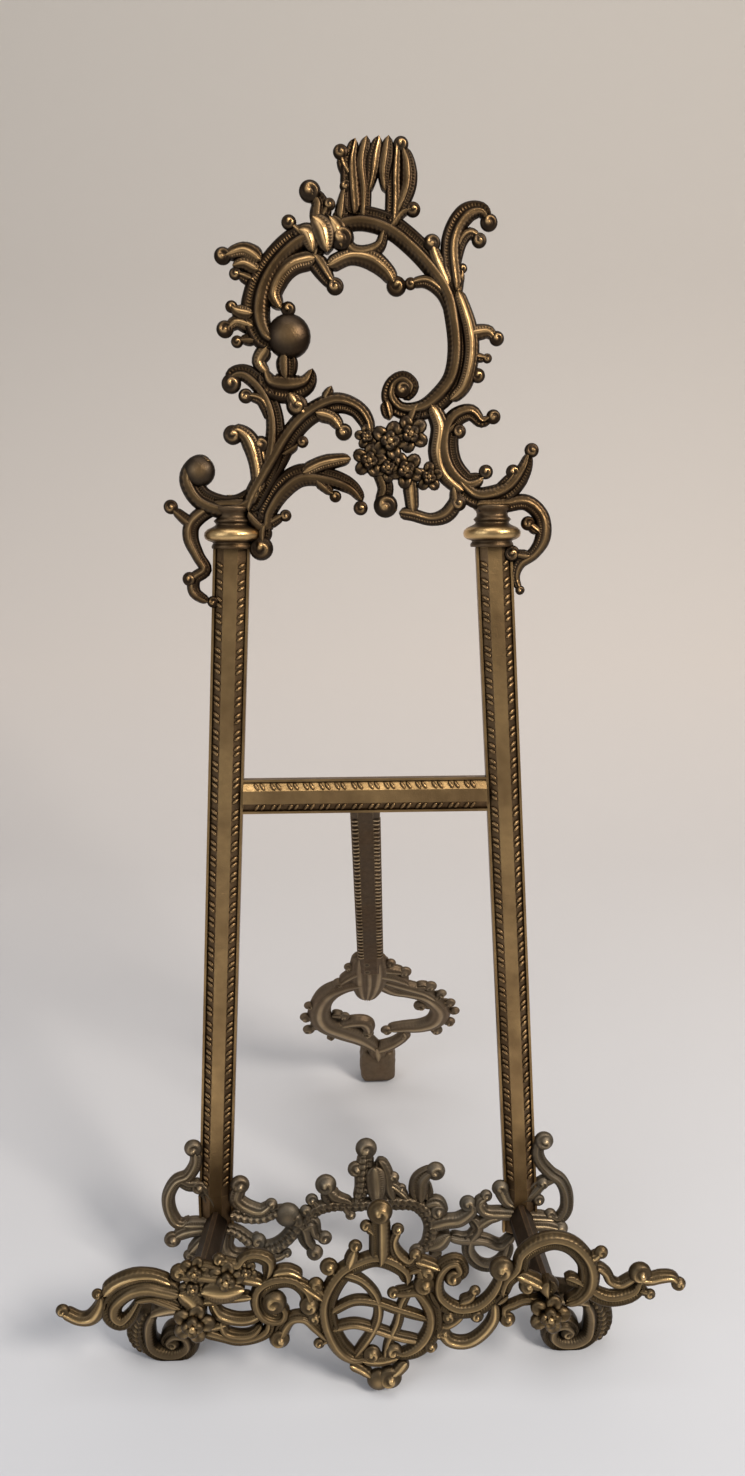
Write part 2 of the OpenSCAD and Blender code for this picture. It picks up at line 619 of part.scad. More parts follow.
RAIL_STROKES = [
    // left wing
    [[-139, 34, 5], [-132, 30, 5], [-126, 31, 6], [-122, 37, 6], [-121, 42, 5]],
    [[-86, 43, 9], [-93, 45, 9], [-100, 47, 10], [-107, 46, 10], [-113, 42, 9], [-117, 37, 9],
     [-117, 31, 8], [-113, 28, 7], [-109, 31, 6], [-106, 36, 5], [-104, 40, 5]],
    [[-106, 40, 5], [-99, 41, 5], [-93, 39, 6], [-86, 36, 8]],
    [[-120, 43, 6], [-114, 48, 6], [-106, 51, 6], [-98, 51, 5], [-90, 48, 6]],
    // flowers over the left arm
    [[-86, 52, 7], [-78, 53, 9], [-70, 52, 10], [-62, 52, 9]],
    [[-76, 45, 12], [-66, 44, 14], [-57, 45, 10]],
    [[-86, 44, 9], [-80, 38, 10], [-79, 28, 10]],
    [[-69, 58, 5], [-60, 55, 6], [-56, 59, 5], [-51, 60, 5], [-46, 57, 6], [-47, 50, 6]],
    [[-60, 50, 6], [-52, 48, 6], [-48, 46, 5]],
    // slotted bands between the left arm and the C-scroll
    [[-76, 38, 5], [-66, 39, 4], [-54, 40, 5]],
    [[-72, 37, 4], [-69, 31, 5], [-62, 28, 5], [-55, 28, 5], [-49, 31, 5]],
    [[-76, 22, 5], [-68, 19, 4], [-61, 17, 4], [-53, 18, 4], [-47, 22, 5], [-46, 28, 5]],
    [[-68, 28, 4], [-66, 22, 4], [-60, 20, 4], [-54, 21, 4], [-50, 26, 4]],
    [[-79, 26, 6], [-72, 25, 5], [-66, 26, 4]],
    // left C-scroll
    [[-28, 35, 6], [-30, 42, 6], [-36, 47, 6], [-44, 47, 7], [-50, 43, 7], [-51, 36, 7], [-48, 30, 7],
     [-42, 28, 6], [-40, 32, 6], [-44, 37, 6]],
    [[-44, 51, 5], [-37, 52, 5], [-31, 49, 5]],
    [[-42, 18, 6], [-40, 24, 6], [-36, 28, 5], [-30, 28, 5], [-25, 23, 5], [-20, 17, 5]],
    [[-34, 47, 4], [-26, 41, 5], [-22, 38, 5]],
    // left side of the cartouche
    [[16, 45, 6], [15, 50, 6], [9, 55, 7], [2, 57, 7], [-5, 55, 7], [-12, 51, 8], [-17, 44, 8],
     [-20, 36, 8], [-20, 28, 8], [-18, 20, 8], [-14, 12, 8], [-8, 7, 7], [-1, 8, 6]],
    [[-20, 40, 5], [-25, 45, 5]],
    [[-16, 48, 5], [-19, 54, 5]],
    [[-21, 33, 4], [-25, 29, 5]],
    [[-10, 54, 6], [-8, 60, 6], [-7, 63, 4]],
    [[-18, 18, 4], [-23, 15, 4]],
    // right side of the cartouche
    [[10, 40, 4], [15, 40, 5], [21, 41, 7], [25, 37, 8], [28, 30, 8], [28, 22, 8], [25, 15, 8],
     [20, 10, 7], [14, 8, 6], [10, 10, 6]],
    [[22, 40, 5], [24, 46, 7], [22, 52, 6], [16, 50, 5]],
    [[-4, 6, 5], [4, 5, 5], [12, 7, 5]],
    // interlaced ribbon inside the cartouche
    [[-18, 31, 4], [-8, 36, 4], [2, 35, 4], [12, 31, 4], [26, 26, 4]],
    [[-18, 22, 4], [-8, 24, 4], [2, 21, 4], [12, 17, 4], [24, 14, 4]],
    [[-12, 50, 5], [-4, 46, 4], [2, 38, 4], [3, 28, 4], [-1, 18, 4], [-8, 8, 4]],
    [[18, 42, 4], [14, 34, 4], [12, 24, 4], [8, 14, 4], [6, 6, 4]],
    // pendant
    [[-10, 4, 5], [-5, 1, 5], [0, -3, 5]],
    [[16, 5, 5], [12, 0, 6], [8, -3, 6]],
    // finial
    [[4, 79, 8], [4, 70, 8], [4, 62, 10], [4, 56, 12]],
    [[1, 70, 4], [-2, 73, 4]],
    [[12, 71, 4], [10, 65, 4], [12, 59, 5], [17, 55, 5], [20, 58, 4]],
    [[20, 56, 5], [26, 54, 6], [31, 52, 6]],
    // right spiral and its lower ring
    [[37, 47, 5], [41, 50, 6], [39, 55, 6], [34, 54, 6], [30, 49, 7], [29, 42, 7], [31, 36, 7],
     [37, 31, 7], [43, 30, 7], [50, 32, 7], [56, 38, 7], [59, 45, 7], [59, 51, 7]],
    [[40, 34, 4], [45, 36, 4], [47, 40, 3]],
    [[33, 19, 5], [35, 15, 5], [40, 13, 5], [46, 14, 5], [52, 19, 5], [56, 26, 5], [56, 34, 5]],
    [[30, 22, 4], [34, 22, 4], [39, 25, 4], [42, 29, 4]],
    [[62, 25, 4], [61, 30, 4], [65, 32, 4], [70, 34, 4], [78, 34, 5]],
    [[57, 34, 5], [62, 38, 5]],
    // great arch over the right arm
    [[60, 37, 5], [62, 44, 6], [67, 50, 7], [69, 57, 7], [75, 62, 8], [83, 64, 8], [91, 61, 8],
     [97, 54, 8], [99, 47, 9], [98, 40, 9], [94, 35, 8], [88, 33, 8]],
    [[66, 48, 5], [72, 45, 7], [78, 42, 10]],
    [[96, 55, 5], [101, 55, 5], [104, 58, 4]],
    [[80, 46, 14], [80, 38, 14]],
    [[88, 46, 6], [96, 42, 6]],
    // right wing
    [[99, 48, 5], [103, 50, 4], [107, 47, 4], [109, 43, 4], [113, 41, 4], [117, 43, 5], [121, 46, 5]],
    [[98, 40, 6], [103, 36, 7], [109, 34, 7], [116, 35, 7], [121, 38, 7], [123, 44, 7]],
    [[122, 44, 6], [127, 43, 5], [132, 44, 5], [137, 44, 5], [140, 41, 5]],
    [[122, 38, 4], [127, 36, 4]]
];

RAIL_BALLS = [
    [-139, 35, 3], [-123, 43, 2.5], [-86, 53, 4], [-79, 54, 5.5], [-79, 48, 5], [-65, 50, 7],
    [-68, 59, 3], [-28, 35, 4.5], [-44, 37, 5.5], [-42, 18, 4.5], [-26, 28, 3], [-24, 15, 2.5],
    [-19, 54, 4], [-25, 45, 3.5], [-7, 64, 3], [0, 9, 4], [10, 10, 4], [24, 44, 5], [25, 50, 4],
    [10, 40, 2.8], [27, 12, 3], [31, 18, 2.5], [3, -4.5, 6], [8, -3.5, 5.5], [4, 81, 5.5],
    [-2, 74, 2.8], [12, 72, 2.8], [20, 59, 2.8], [37, 47, 4], [59, 51, 5.5], [47, 40, 2.5],
    [33, 19, 3], [35, 27, 3], [48, 27, 3], [62, 25, 3.5], [104, 58, 3], [122, 47, 5],
    [140, 41, 3.2], [127, 36, 2.5], [71, 42, 4]
];

rail_drawn_w = 284;
rail_drawn_h = 97;
rail_drawn_low = -10.5;
rail_kx = rail_w / rail_drawn_w;
rail_ky = rail_h / rail_drawn_h;

module front_rail() {
    color([0.58, 0.46, 0.27]) on_frame() difference() {
        union() {
            translate([0, 0, rail_mid]) casting(
                placed(RAIL_STROKES, rail_kx, rail_ky, rail_low - rail_drawn_low * rail_ky),
                placed_balls(RAIL_BALLS, rail_kx, rail_ky, rail_low - rail_drawn_low * rail_ky),
                rail_t);
            for (side = SIDES)
                translate([side * rosette_x, rosette_y(), rail_back])
                    cylinder(h = rail_t, r = rosette_r - 1.5);
        }
        for (side = SIDES) rosette_stud(side);
    }
}

// ---- rosettes --------------------------------------------------------------------

petals = 9;

module rosette_place(side) {
    translate([side * rosette_x, rosette_y(), rail_front]) children();
}

module rosette(side) {
    color([0.6, 0.48, 0.28]) on_frame() difference() {
        rosette_place(side) {
            linear_extrude(rosette_t * 0.6) offset(delta = 0.01) {
                circle(rosette_r * 0.72);
                for (i = [0 : petals - 1])
                    rotate(i * 360 / petals) translate([rosette_r * 0.7, 0])
                        circle(rosette_r * 0.3, $fn = 20);
            }
            cylinder(h = rosette_t, r = rosette_r * 0.4);
        }
        rosette_stud(side);
    }
}

rosette_thread = rosette_t * 0.75;
stud_len = flange_t + rail_t + rosette_thread;

// A headless stud from the arm's flange, through the rail and into the rosette.
module rosette_stud(side) {
    translate([side * rosette_x, rosette_y(), rail_back - flange_t])
        cylinder(h = stud_len, r = screw_r);
}

module rosette_studs() {
    color([0.5, 0.42, 0.28]) on_frame() for (side = SIDES) rosette_stud(side);
}

// ---- front feet ------------------------------------------------------------------
// Drawn upright for the right side: x = outwards from the volute, y = up from the floor.

foot_pad_w = 11;                 // width of the foot's seat under the arm
foot_pad_h = 6;                  // height of that seat
foot_top = arm_top - arm_h;
flange_n = arm_front_n - flange_t;
// The feet stand just behind the arms' flanges.
foot_front_y = world_y(up_frame(foot_top, flange_n), flange_n) + foot_gap;
foot_mid_y = foot_front_y + foot_t / 2;
foot_arm_x = arm_x(foot_mid_y) - foot_out;

FOOT_STROKES = [
    [[8, 34, 7], [11, 27, 7], [12, 18, 7], [11, 9, 7], [5, 4, 8], [-3, 4, 8], [-8, 9, 7],
     [-7, 16, 6], [-1, 18, 6], [3, 13, 5], [0, 9, 5]]
];
FOOT_BALLS = [[0, 11, 3.5]];
FOOT_RIM = [[[10, 33, 6], [15, 27, 7], [17, 18, 7.5], [16, 9, 7], [12, 4, 6]]];
foot_rim_back = 3;               // how far the rim stands behind the scroll's face

// Stretches a foot's drawing from the floor to the underside of the arm.
foot_drawn_h = 41;
foot_ky = foot_top / foot_drawn_h;
FOOT_TOP = [[[foot_arm_x, foot_drawn_h - 2, 8], [0, foot_drawn_h - 4, 8], [8, 34, 7]]];

module foot(side) {
    color([0.45, 0.35, 0.22]) difference() {
        translate([side * foot_out, foot_front_y, 0]) handed(side) rotate([90, 0, 0])
            translate([0, 0, -foot_t / 2]) {
                casting(placed(concat(FOOT_STROKES, FOOT_TOP), 1, foot_ky, -foot_worn),
                        placed_balls(FOOT_BALLS, 1, foot_ky, -foot_worn), foot_t);
                translate([0, 0, -foot_rim_back / 2]) casting(
                    placed(FOOT_RIM, 1, foot_ky, -foot_worn), [], foot_t - foot_rim_back);
                translate([foot_arm_x - foot_pad_w / 2, foot_top - foot_pad_h, -foot_t / 2])
                    cube([foot_pad_w, foot_pad_h, foot_t]);
            }
        translate([-big / 2, -big / 2, foot_top]) cube(big);
        translate([-big / 2, -big / 2, -big]) cube(big);
        foot_screw_hole(side);
    }
}

module handed(side) {
    mirror([side < 0 ? 1 : 0, 0, 0]) children();
}

foot_screw_sunk = 7;             // how far the screw's head is under the arm's seat
foot_screw_grip = 6;
foot_screw_up = foot_top - foot_screw_sunk;
foot_screw_len = foot_screw_sunk + foot_screw_grip;

module foot_screw_place(side) {
    translate([side * arm_x(foot_mid_y), foot_mid_y, foot_screw_up]) children();
}

module foot_screw_hole(side) {
    foot_screw_place(side) {
        cylinder(h = foot_screw_len, r = screw_r);
        translate([0, 0, -big / 4]) cylinder(h = big / 4, r = head_r);
    }
}

module foot_screws() {
    color([0.5, 0.42, 0.28]) for (side = SIDES) foot_screw_place(side) screw(foot_screw_len);
}

// ---- hinge -----------------------------------------------------------------------

bracket_w = leg_w + 2 * (ear_gap + ear_t);
bracket_flange = 6;              // plate left outside each ear for its rivet
plate_w = bracket_w + 2 * bracket_flange;
plate_low = hinge_up + 1.2;
plate_high = crossbar_y + bar_w / 2 - 1;
ear_r = hub_r + 1;
rivet_y = (crossbar_y - bar_w / 2 + plate_high) / 2;

module at_hinge() {
    translate([0, hinge_up, -hinge_back]) children();
}

module hinge_bracket() {
    color([0.4, 0.3, 0.18]) on_frame() difference() {
        union() {
            translate([-plate_w / 2, plate_low, -bar_back - plate_t])
                cube([plate_w, plate_high - plate_low, plate_t]);
            for (side = SIDES)
                translate([side * (bracket_w - ear_t) / 2 - ear_t / 2, 0, 0]) ear();
        }
        at_hinge() rotate([0, 90, 0]) cylinder(h = big, r = pin_r, center = true);
        for (s = SIDES) bracket_rivet_hole(s);
    }
}

// One ear: a round end about the pin and a straight web back to the plate.
module ear() {
    web_h = 2 * ear_r;
    at_hinge() rotate([0, 90, 0]) cylinder(h = ear_t, r = ear_r);
    translate([0, hinge_up, -hinge_back]) cube([ear_t, web_h, hinge_back - bar_back - plate_t]);
    translate([0, hinge_up, -hinge_back]) rotate([-45, 0, 0])
        translate([0, -ear_r, 0]) cube([ear_t, 2 * ear_r, 0.01 + ear_r * 0.3]);
}

module bracket_rivet_place(s) {
    translate([s * (plate_w - bracket_flange) / 2, rivet_y, -bar_back - plate_t]) children();
}

rivet_len = plate_t + bar_back + 0.4;

module bracket_rivet_hole(s) {
    bracket_rivet_place(s) cylinder(h = rivet_len, r = screw_r);
}

module bracket_rivets() {
    color([0.5, 0.42, 0.28]) on_frame() for (s = SIDES) bracket_rivet_place(s) {
        cylinder(h = rivet_len, r = screw_r);
        translate([0, 0, -head_h]) cylinder(h = head_h, r = head_r);
    }
}

washer_t = 0.8;
pin_len = bracket_w + 2 * washer_t;
pin_head_r = pin_r + 1.4;

module hinge_pin() {
    color([0.55, 0.45, 0.3]) on_frame() at_hinge() rotate([0, 90, 0]) {
        cylinder(h = pin_len, r = pin_r, center = true);
        for (s = [0, 1]) mirror([0, 0, s])
            translate([0, 0, pin_len / 2]) cylinder(h = 1.4, r = pin_head_r);
    }
}

module pin_washers() {
    color([0.6, 0.5, 0.3]) on_frame() at_hinge() rotate([0, 90, 0]) for (s = [0, 1])
        mirror([0, 0, s]) translate([0, 0, bracket_w / 2]) difference() {
            cylinder(h = washer_t, r = pin_head_r + 0.6);
            translate([0, 0, -over]) cylinder(h = washer_t + 2 * over, r = pin_r);
        }
}

// ---- leg -------------------------------------------------------------------------

// Along the leg: y = 0 at the pin and positive down the leg, z = towards the frame.
module on_leg() {
    translate([0, pin_y, pin_z])
        rotate([90 + leg_angle, 0, 0]) mirror([0, 1, 0]) rotate([0, 0, -leg_slant]) children();
}

leg_bevel = 3.6;
leg_edge = 2.6;                  // thickness of the leg's edges
stop_gap = 0.05;                 // room between the leg's heel and the bracket's plate
// The heel above the pin meets the bracket's plate when the leg is fully open.
heel_up = (hinge_back - bar_back - plate_t - stop_gap - leg_t / 2 * cos(leg_open))
    / sin(leg_open);

module leg_blank(length) {
    rotate([90, 0, 0]) mirror([0, 0, 1]) linear_extrude(length) polygon([
        [-leg_w / 2, -leg_t / 2], [leg_w / 2, -leg_t / 2], [leg_w / 2, leg_edge - leg_t / 2],
        [leg_w / 2 - leg_bevel, leg_t / 2], [leg_bevel - leg_w / 2, leg_t / 2],
        [-leg_w / 2, leg_edge - leg_t / 2]
    ]);
}

module rear_leg() {
    color([0.33, 0.24, 0.16]) difference() {
        union() {
            on_leg() translate([0, -heel_up, 0]) leg_blank(heel_up + leg_bar_len);
            leg_hub();
        }
        leg_hub_cut();
        on_leg() {
            lap_cut();
            ornament_rivet_holes();
        }
    }
}

// The knuckle round the pin, square to the pin.
module leg_hub() {
    on_frame() at_hinge() rotate([0, 90, 0]) cylinder(h = leg_w, r = hub_r, center = true);
}

module leg_hub_cut() {
    on_frame() at_hinge() rotate([0, 90, 0]) cylinder(h = big, r = pin_r + pin_clear, center = true);
    for (side = SIDES)
        translate([side > 0 ? leg_w / 2 : -leg_w / 2 - big, -big / 2, hinge_clear_z])
            cube([big, big, big]);
}

// Only the top of the leg, between the ears, is trimmed square to the pin.
hinge_clear_z = pin_z - 2.5 * ear_r;

// The lower end of the bar is halved so that the ornament laps behind it.
lap_len = leg_bar_len - orn_start;

module lap_cut() {
    translate([-leg_w, orn_start, -leg_t]) cube([2 * leg_w, 2 * lap_len, leg_t]);
}

ORN_STROKES = [
    // boss and lobes under the bar
    [[-2, 0, 12], [-2, 12, 14], [-2, 26, 15], [-3, 40, 12], [-3, 46, 9]],
    [[-4, 4, 6], [-12, 10, 5]],
    [[-6, 14, 7], [-13, 20, 6], [-19, 26, 6]],
    [[3, 4, 6], [11, 8, 5]],
    [[4, 12, 7], [12, 15, 6], [20, 17, 5]],
    [[4, 18, 7], [14, 22, 7], [23, 28, 7]],
    // left side of the ring
    [[-6, 28, 8], [-16, 31, 8], [-26, 38, 9], [-32, 50, 9], [-34, 64, 10], [-30, 76, 11],
     [-20, 84, 12], [-10, 92, 11], [-2, 102, 9], [2, 108, 9]],
    [[-32, 52, 6], [-39, 51, 4]],
    [[-34, 64, 6], [-42, 65, 5]],
    [[-32, 76, 7], [-41, 80, 5]],
    [[-24, 84, 6], [-27, 91, 4]],
    [[-26, 64, 5], [-19, 66, 4]],
    [[-22, 78, 6], [-14, 74, 7], [-6, 74, 7], [-3, 80, 7], [-3, 88, 5]],
    // right side of the ring
    [[4, 28, 7], [13, 38, 6], [24, 42, 6], [33, 46, 7], [40, 54, 8], [44, 64, 9], [41, 76, 9],
     [32, 82, 8], [20, 83, 7], [10, 84, 6]],
    [[8, 26, 6], [20, 33, 6], [32, 40, 6], [40, 48, 6]],
    [[28, 34, 5], [36, 34, 5]],
    [[40, 50, 6], [43, 44, 5]],
    [[43, 58, 6], [49, 54, 5]],
    [[45, 66, 6], [52, 64, 5]],
    [[43, 74, 6], [49, 76, 5]],
    [[36, 82, 6], [41, 86, 5]],
    [[40, 58, 6], [32, 56, 6]],
    // stem to the pad
    [[2, 108, 9], [8, 106, 8], [16, 100, 6], [21, 92, 6], [20, 86, 6]],
    [[2, 104, 9], [3, 112, 12], [3, 118, 14]],
    [[2, 106, 6], [-4, 100, 5]]
];

ORN_BALLS = [
    [-13, 10, 3], [-20, 27, 3.5], [12, 7, 3], [21, 17, 3.5], [-40, 52, 3], [-43, 66, 3.5],
    [-42, 81, 3.5], [-28, 92, 2.5], [-18, 66, 3], [-4, 88, 4], [9, 85, 3.5], [37, 34, 3.5],
    [44, 43, 3], [50, 54, 3], [53, 64, 3], [50, 77, 3.5], [42, 87, 3.5], [31, 56, 4], [21, 92, 3.5]
];

orn_drawn_h = 120;               // from the lap's top to the floor end of the stem
orn_len = leg_len - pad_h - orn_start + 6;
orn_ky = orn_len / orn_drawn_h;
orn_kx = 0.92;

module leg_foot_ornament() {
    color([0.42, 0.34, 0.22]) difference() {
        on_leg() translate([0, 0, -foot_orn_t / 2])
            casting(placed(ORN_STROKES, orn_kx, orn_ky, orn_start),
                    placed_balls(ORN_BALLS, orn_kx, orn_ky, orn_start), foot_orn_t);
        on_leg() {
            ornament_rivet_holes();
            translate([-big / 2, orn_start - big, -big / 2]) cube(big);
        }
        pad_tongue_room();
    }
}

orn_rivets = [0.2, 0.8];         // places along the lap

module ornament_rivet_place() {
    for (k = orn_rivets) translate([-2, orn_start + lap_len * k, -foot_orn_t]) children();
}

orn_rivet_len = foot_orn_t + leg_t / 2;

module ornament_rivet_holes() {
    ornament_rivet_place() cylinder(h = orn_rivet_len, r = screw_r);
}

module ornament_rivets() {
    color([0.5, 0.42, 0.28]) on_leg() ornament_rivet_place() {
        cylinder(h = orn_rivet_len, r = screw_r);
        translate([0, 0, -head_h]) cylinder(h = head_h, r = head_r);
    }
}

// ---- pad under the leg -------------------------------------------------------------

pad_top_w = 15;
pad_x = 2;                       // the pad's middle, across the leg
slot_h = 7;                      // how far the ornament's tongue sits down in the pad
pad_top = leg_len - pad_h;

// Upright block whose foot is flat on the floor and whose top is square to the leg.
module pad_block() {
    on_leg() translate([pad_x, 0, -foot_orn_t / 2]) rotate([90, 0, 0]) mirror([0, 0, 1])
        translate([0, 0, pad_top]) linear_extrude(pad_h * 2)
            square([pad_w, pad_d], center = true);
}

module pad_side_cut() {
    for (side = SIDES)
        on_leg() translate([pad_x + side * pad_top_w / 2, pad_top, -big / 2])
            rotate([0, 0, -side * pad_flare])
                translate([side > 0 ? 0 : -big, -over, 0]) cube([big, big, big]);
}

pad_flare = atan((pad_w - pad_top_w) / 2 / (pad_h * 0.6));

module leg_pad() {
    color([0.45, 0.38, 0.25]) difference() {
        pad_block();
        pad_side_cut();
        translate([-big / 2, -big / 2, -big]) cube(big);
        pad_slot();
    }
}

// The ornament's end and the slot in the pad that takes it.
tongue_w = 9;

module pad_slot() {
    on_leg() translate([pad_x - tongue_w / 2, pad_top - over, -foot_orn_t])
        cube([tongue_w, slot_h + over, foot_orn_t]);
}

// Trims the ornament to its tongue where it enters the pad.
module pad_tongue_room() {
    on_leg() {
        for (side = SIDES)
            translate([side > 0 ? pad_x + tongue_w / 2 : pad_x - tongue_w / 2 - big, pad_top,
                       -big / 2])
                cube([big, big, big]);
        translate([-big / 2, pad_top + slot_h, -big / 2]) cube(big);
    }
}

// ---- the nodes -------------------------------------------------------------------

centred() crest();
centred() capital(LEFT);  // left_capital
centred() capital(RIGHT);  // right_capital
centred() stile(LEFT);  // left_stile
centred() stile(RIGHT);  // right_stile
centred() crossbar();
centred() capital_dowels();
centred() lower_rail();
centred() arm(LEFT);  // left_ledge_arm
centred() arm(RIGHT);  // right_ledge_arm
centred() arm_screws();
centred() front_rail();
centred() rosette(LEFT);  // left_rosette
centred() rosette(RIGHT);  // right_rosette
centred() rosette_studs();
centred() foot(LEFT);  // left_front_foot
centred() foot(RIGHT);  // right_front_foot
centred() foot_screws();
centred() hinge_bracket();
centred() bracket_rivets();
centred() hinge_pin();
centred() pin_washers();
centred() rear_leg();
centred() leg_foot_ornament();
centred() ornament_rivets();
centred() leg_pad();
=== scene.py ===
# %% [markdown]
# # A rococo table stand for an album
# The stand is cast brass: a frame that leans back on a hinged leg, with scrollwork castings
# above and below it and an openwork rail in front. The plain, fitted parts (bars, arms,
# hinge, screws) come from the exact model and only get a finish here. The castings are
# modelled again with their rolled edges, grooves, tool marks, knobs and flowers.

# %% Open the stand
import json
import math

import bmesh
import bpy
from mathutils import Matrix, Vector, noise


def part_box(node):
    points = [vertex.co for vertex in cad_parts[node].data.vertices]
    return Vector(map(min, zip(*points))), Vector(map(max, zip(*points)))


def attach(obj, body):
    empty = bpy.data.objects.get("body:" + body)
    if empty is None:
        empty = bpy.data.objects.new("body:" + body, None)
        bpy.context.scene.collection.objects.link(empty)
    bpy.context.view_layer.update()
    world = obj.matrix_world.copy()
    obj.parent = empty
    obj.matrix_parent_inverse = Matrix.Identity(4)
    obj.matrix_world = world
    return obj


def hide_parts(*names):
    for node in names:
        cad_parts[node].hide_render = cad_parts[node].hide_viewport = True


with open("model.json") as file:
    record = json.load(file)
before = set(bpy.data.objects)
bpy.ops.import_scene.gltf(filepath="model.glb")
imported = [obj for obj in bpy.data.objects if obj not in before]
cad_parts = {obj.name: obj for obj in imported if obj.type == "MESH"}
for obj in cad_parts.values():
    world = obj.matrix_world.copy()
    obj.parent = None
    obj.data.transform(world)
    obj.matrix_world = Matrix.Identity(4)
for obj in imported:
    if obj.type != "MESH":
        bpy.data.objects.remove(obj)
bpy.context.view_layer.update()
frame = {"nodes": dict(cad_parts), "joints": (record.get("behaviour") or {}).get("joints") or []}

# %% [markdown]
# ## Where things are
# Every casting is drawn flat, in millimetres, and then stood up. The frame is drawn with x
# across, y up the leaning frame from the floor line and z towards the viewer. One matrix
# stands it up, and another does the same for the leg. The hinge pin's place fixes both.

# %% The frame's plane and the leg's plane
MM = 0.001
LEAN = math.radians(14.4)
SPLAY = math.radians(3.2)
CROSSBAR_UP, HINGE_DROP, HINGE_BACK = 200.4, 5.4, 10.0
LEG_SLANT = math.radians(1.6)
LEG_ANGLE = math.radians(33.9) - LEAN
SEAT_UP, STILE_LEN, BASE_GAUGE, HALF_BAR = 60.0, 312.0, 150.0, 8.0
HINGE_UP = SEAT_UP + CROSSBAR_UP - HINGE_DROP
CAPITAL_H = 18.0
CREST_SEAT = SEAT_UP + STILE_LEN + CAPITAL_H
LEFT, RIGHT = -1, 1
BEVEL_SLOPE = math.atan2(2.3, 3.5)
FRAME_FRONT = (0.0, -math.cos(LEAN), math.sin(LEAN))
CROSSBAR_TOP = (0.0, -math.cos(LEAN + BEVEL_SLOPE), math.sin(LEAN + BEVEL_SLOPE))

pin = Vector(frame["joints"][0]["pos_m"])
floor_line_y = pin.y - (HINGE_UP * math.sin(LEAN) + HINGE_BACK * math.cos(LEAN)) * MM
on_frame = Matrix.Translation((0, floor_line_y, 0)) @ Matrix.Rotation(math.pi / 2 - LEAN, 4, "X") \
    @ Matrix.Scale(MM, 4)
leg_len = pin.z / MM / math.cos(LEG_ANGLE)
on_leg = Matrix.Translation(pin) @ Matrix.Rotation(math.pi / 2 + LEG_ANGLE, 4, "X") \
    @ Matrix.Scale(-1, 4, (0, 1, 0)) @ Matrix.Rotation(-LEG_SLANT, 4, "Z") @ Matrix.Scale(MM, 4)


def gauge(y):
    """Half the distance between the stiles' centre lines, y mm up the frame."""
    return BASE_GAUGE / 2 - (y - SEAT_UP) * math.tan(SPLAY)


def on_stile(side):
    """The plane of one stile: y = 0 at its seat, running up the stile."""
    return on_frame @ Matrix.Translation((side * gauge(SEAT_UP), SEAT_UP, 0)) \
        @ Matrix.Rotation(side * SPLAY, 4, "Z")


print("pin at", [round(c, 4) for c in pin], "leg is", round(leg_len, 1), "mm long")

# %% [markdown]
# ## Antique brass
# The metal is brass under a dark brown patina. Hands and polish have rubbed the ridges
# gold, while the hollows keep a dull film. The ridges also carry a painted highlight in that
# gold, and the hollows and the scrolls' flanks a painted shade. One recipe makes every finish.
# The castings store a number called crown, 1 on a ridge and 0 in a hollow, and it drives the
# wear, the painted highlight and the painted flank shade. On the plain parts the shader's own
# soft bevel finds the edges instead, and faces turned one given way get a painted highlight.
# The castings also store how far along and across a scroll a point lies, and fine tool marks
# follow that; the grooves between their veins get a painted shade.

# %% Small helpers for node trees
def fill(tree, socket, value):
    """Link a socket, or set it when the value is a plain one."""
    if isinstance(value, bpy.types.NodeSocket):
        tree.links.new(value, socket)
    elif value is not None:
        socket.default_value = value


def node(tree, kind, *values, out=0, **settings):
    """Add a node, fill its sockets in order, and return one of its outputs."""
    made = tree.nodes.new(kind)
    for key, value in settings.items():
        setattr(made, key, value)
    for socket, value in zip(made.inputs, values):
        fill(tree, socket, value)
    return made.outputs[out]


def sums(tree):
    """A short way to write arithmetic inside one tree."""
    def do(operation, *values, clamp=False):
        return node(tree, "ShaderNodeMath", *values, operation=operation, use_clamp=clamp)
    return do


def bell(do, value, middle, width):
    """1 where value is at the middle, falling away smoothly over the width."""
    away = do("DIVIDE", do("SUBTRACT", value, middle), width)
    return do("EXPONENT", do("MULTIPLY", do("MULTIPLY", away, away), -1.0))


# %% Helpers for the finish
EDGE_REACH, HOLLOW_REACH = 0.0009, 0.006
COLOUR_IN, COLOUR_OUT = (0, 6, 7), 2


def mixed(tree, amount, a, b):
    """Blend two colours."""
    made = tree.nodes.new("ShaderNodeMix")
    made.data_type = "RGBA"
    for index, value in zip(COLOUR_IN, (amount, a, b)):
        fill(tree, made.inputs[index], value)
    return made.outputs[COLOUR_OUT]


def bumped(tree, strength, distance, height, normal=None):
    """Tip the surface by a height field."""
    made = tree.nodes.new("ShaderNodeBump")
    for name, value in (("Strength", strength), ("Distance", distance), ("Height", height),
                        ("Normal", normal)):
        fill(tree, made.inputs[name], value)
    return made.outputs[0]


def darker(colour, share):
    return [c * share for c in colour[:3]] + [1.0]


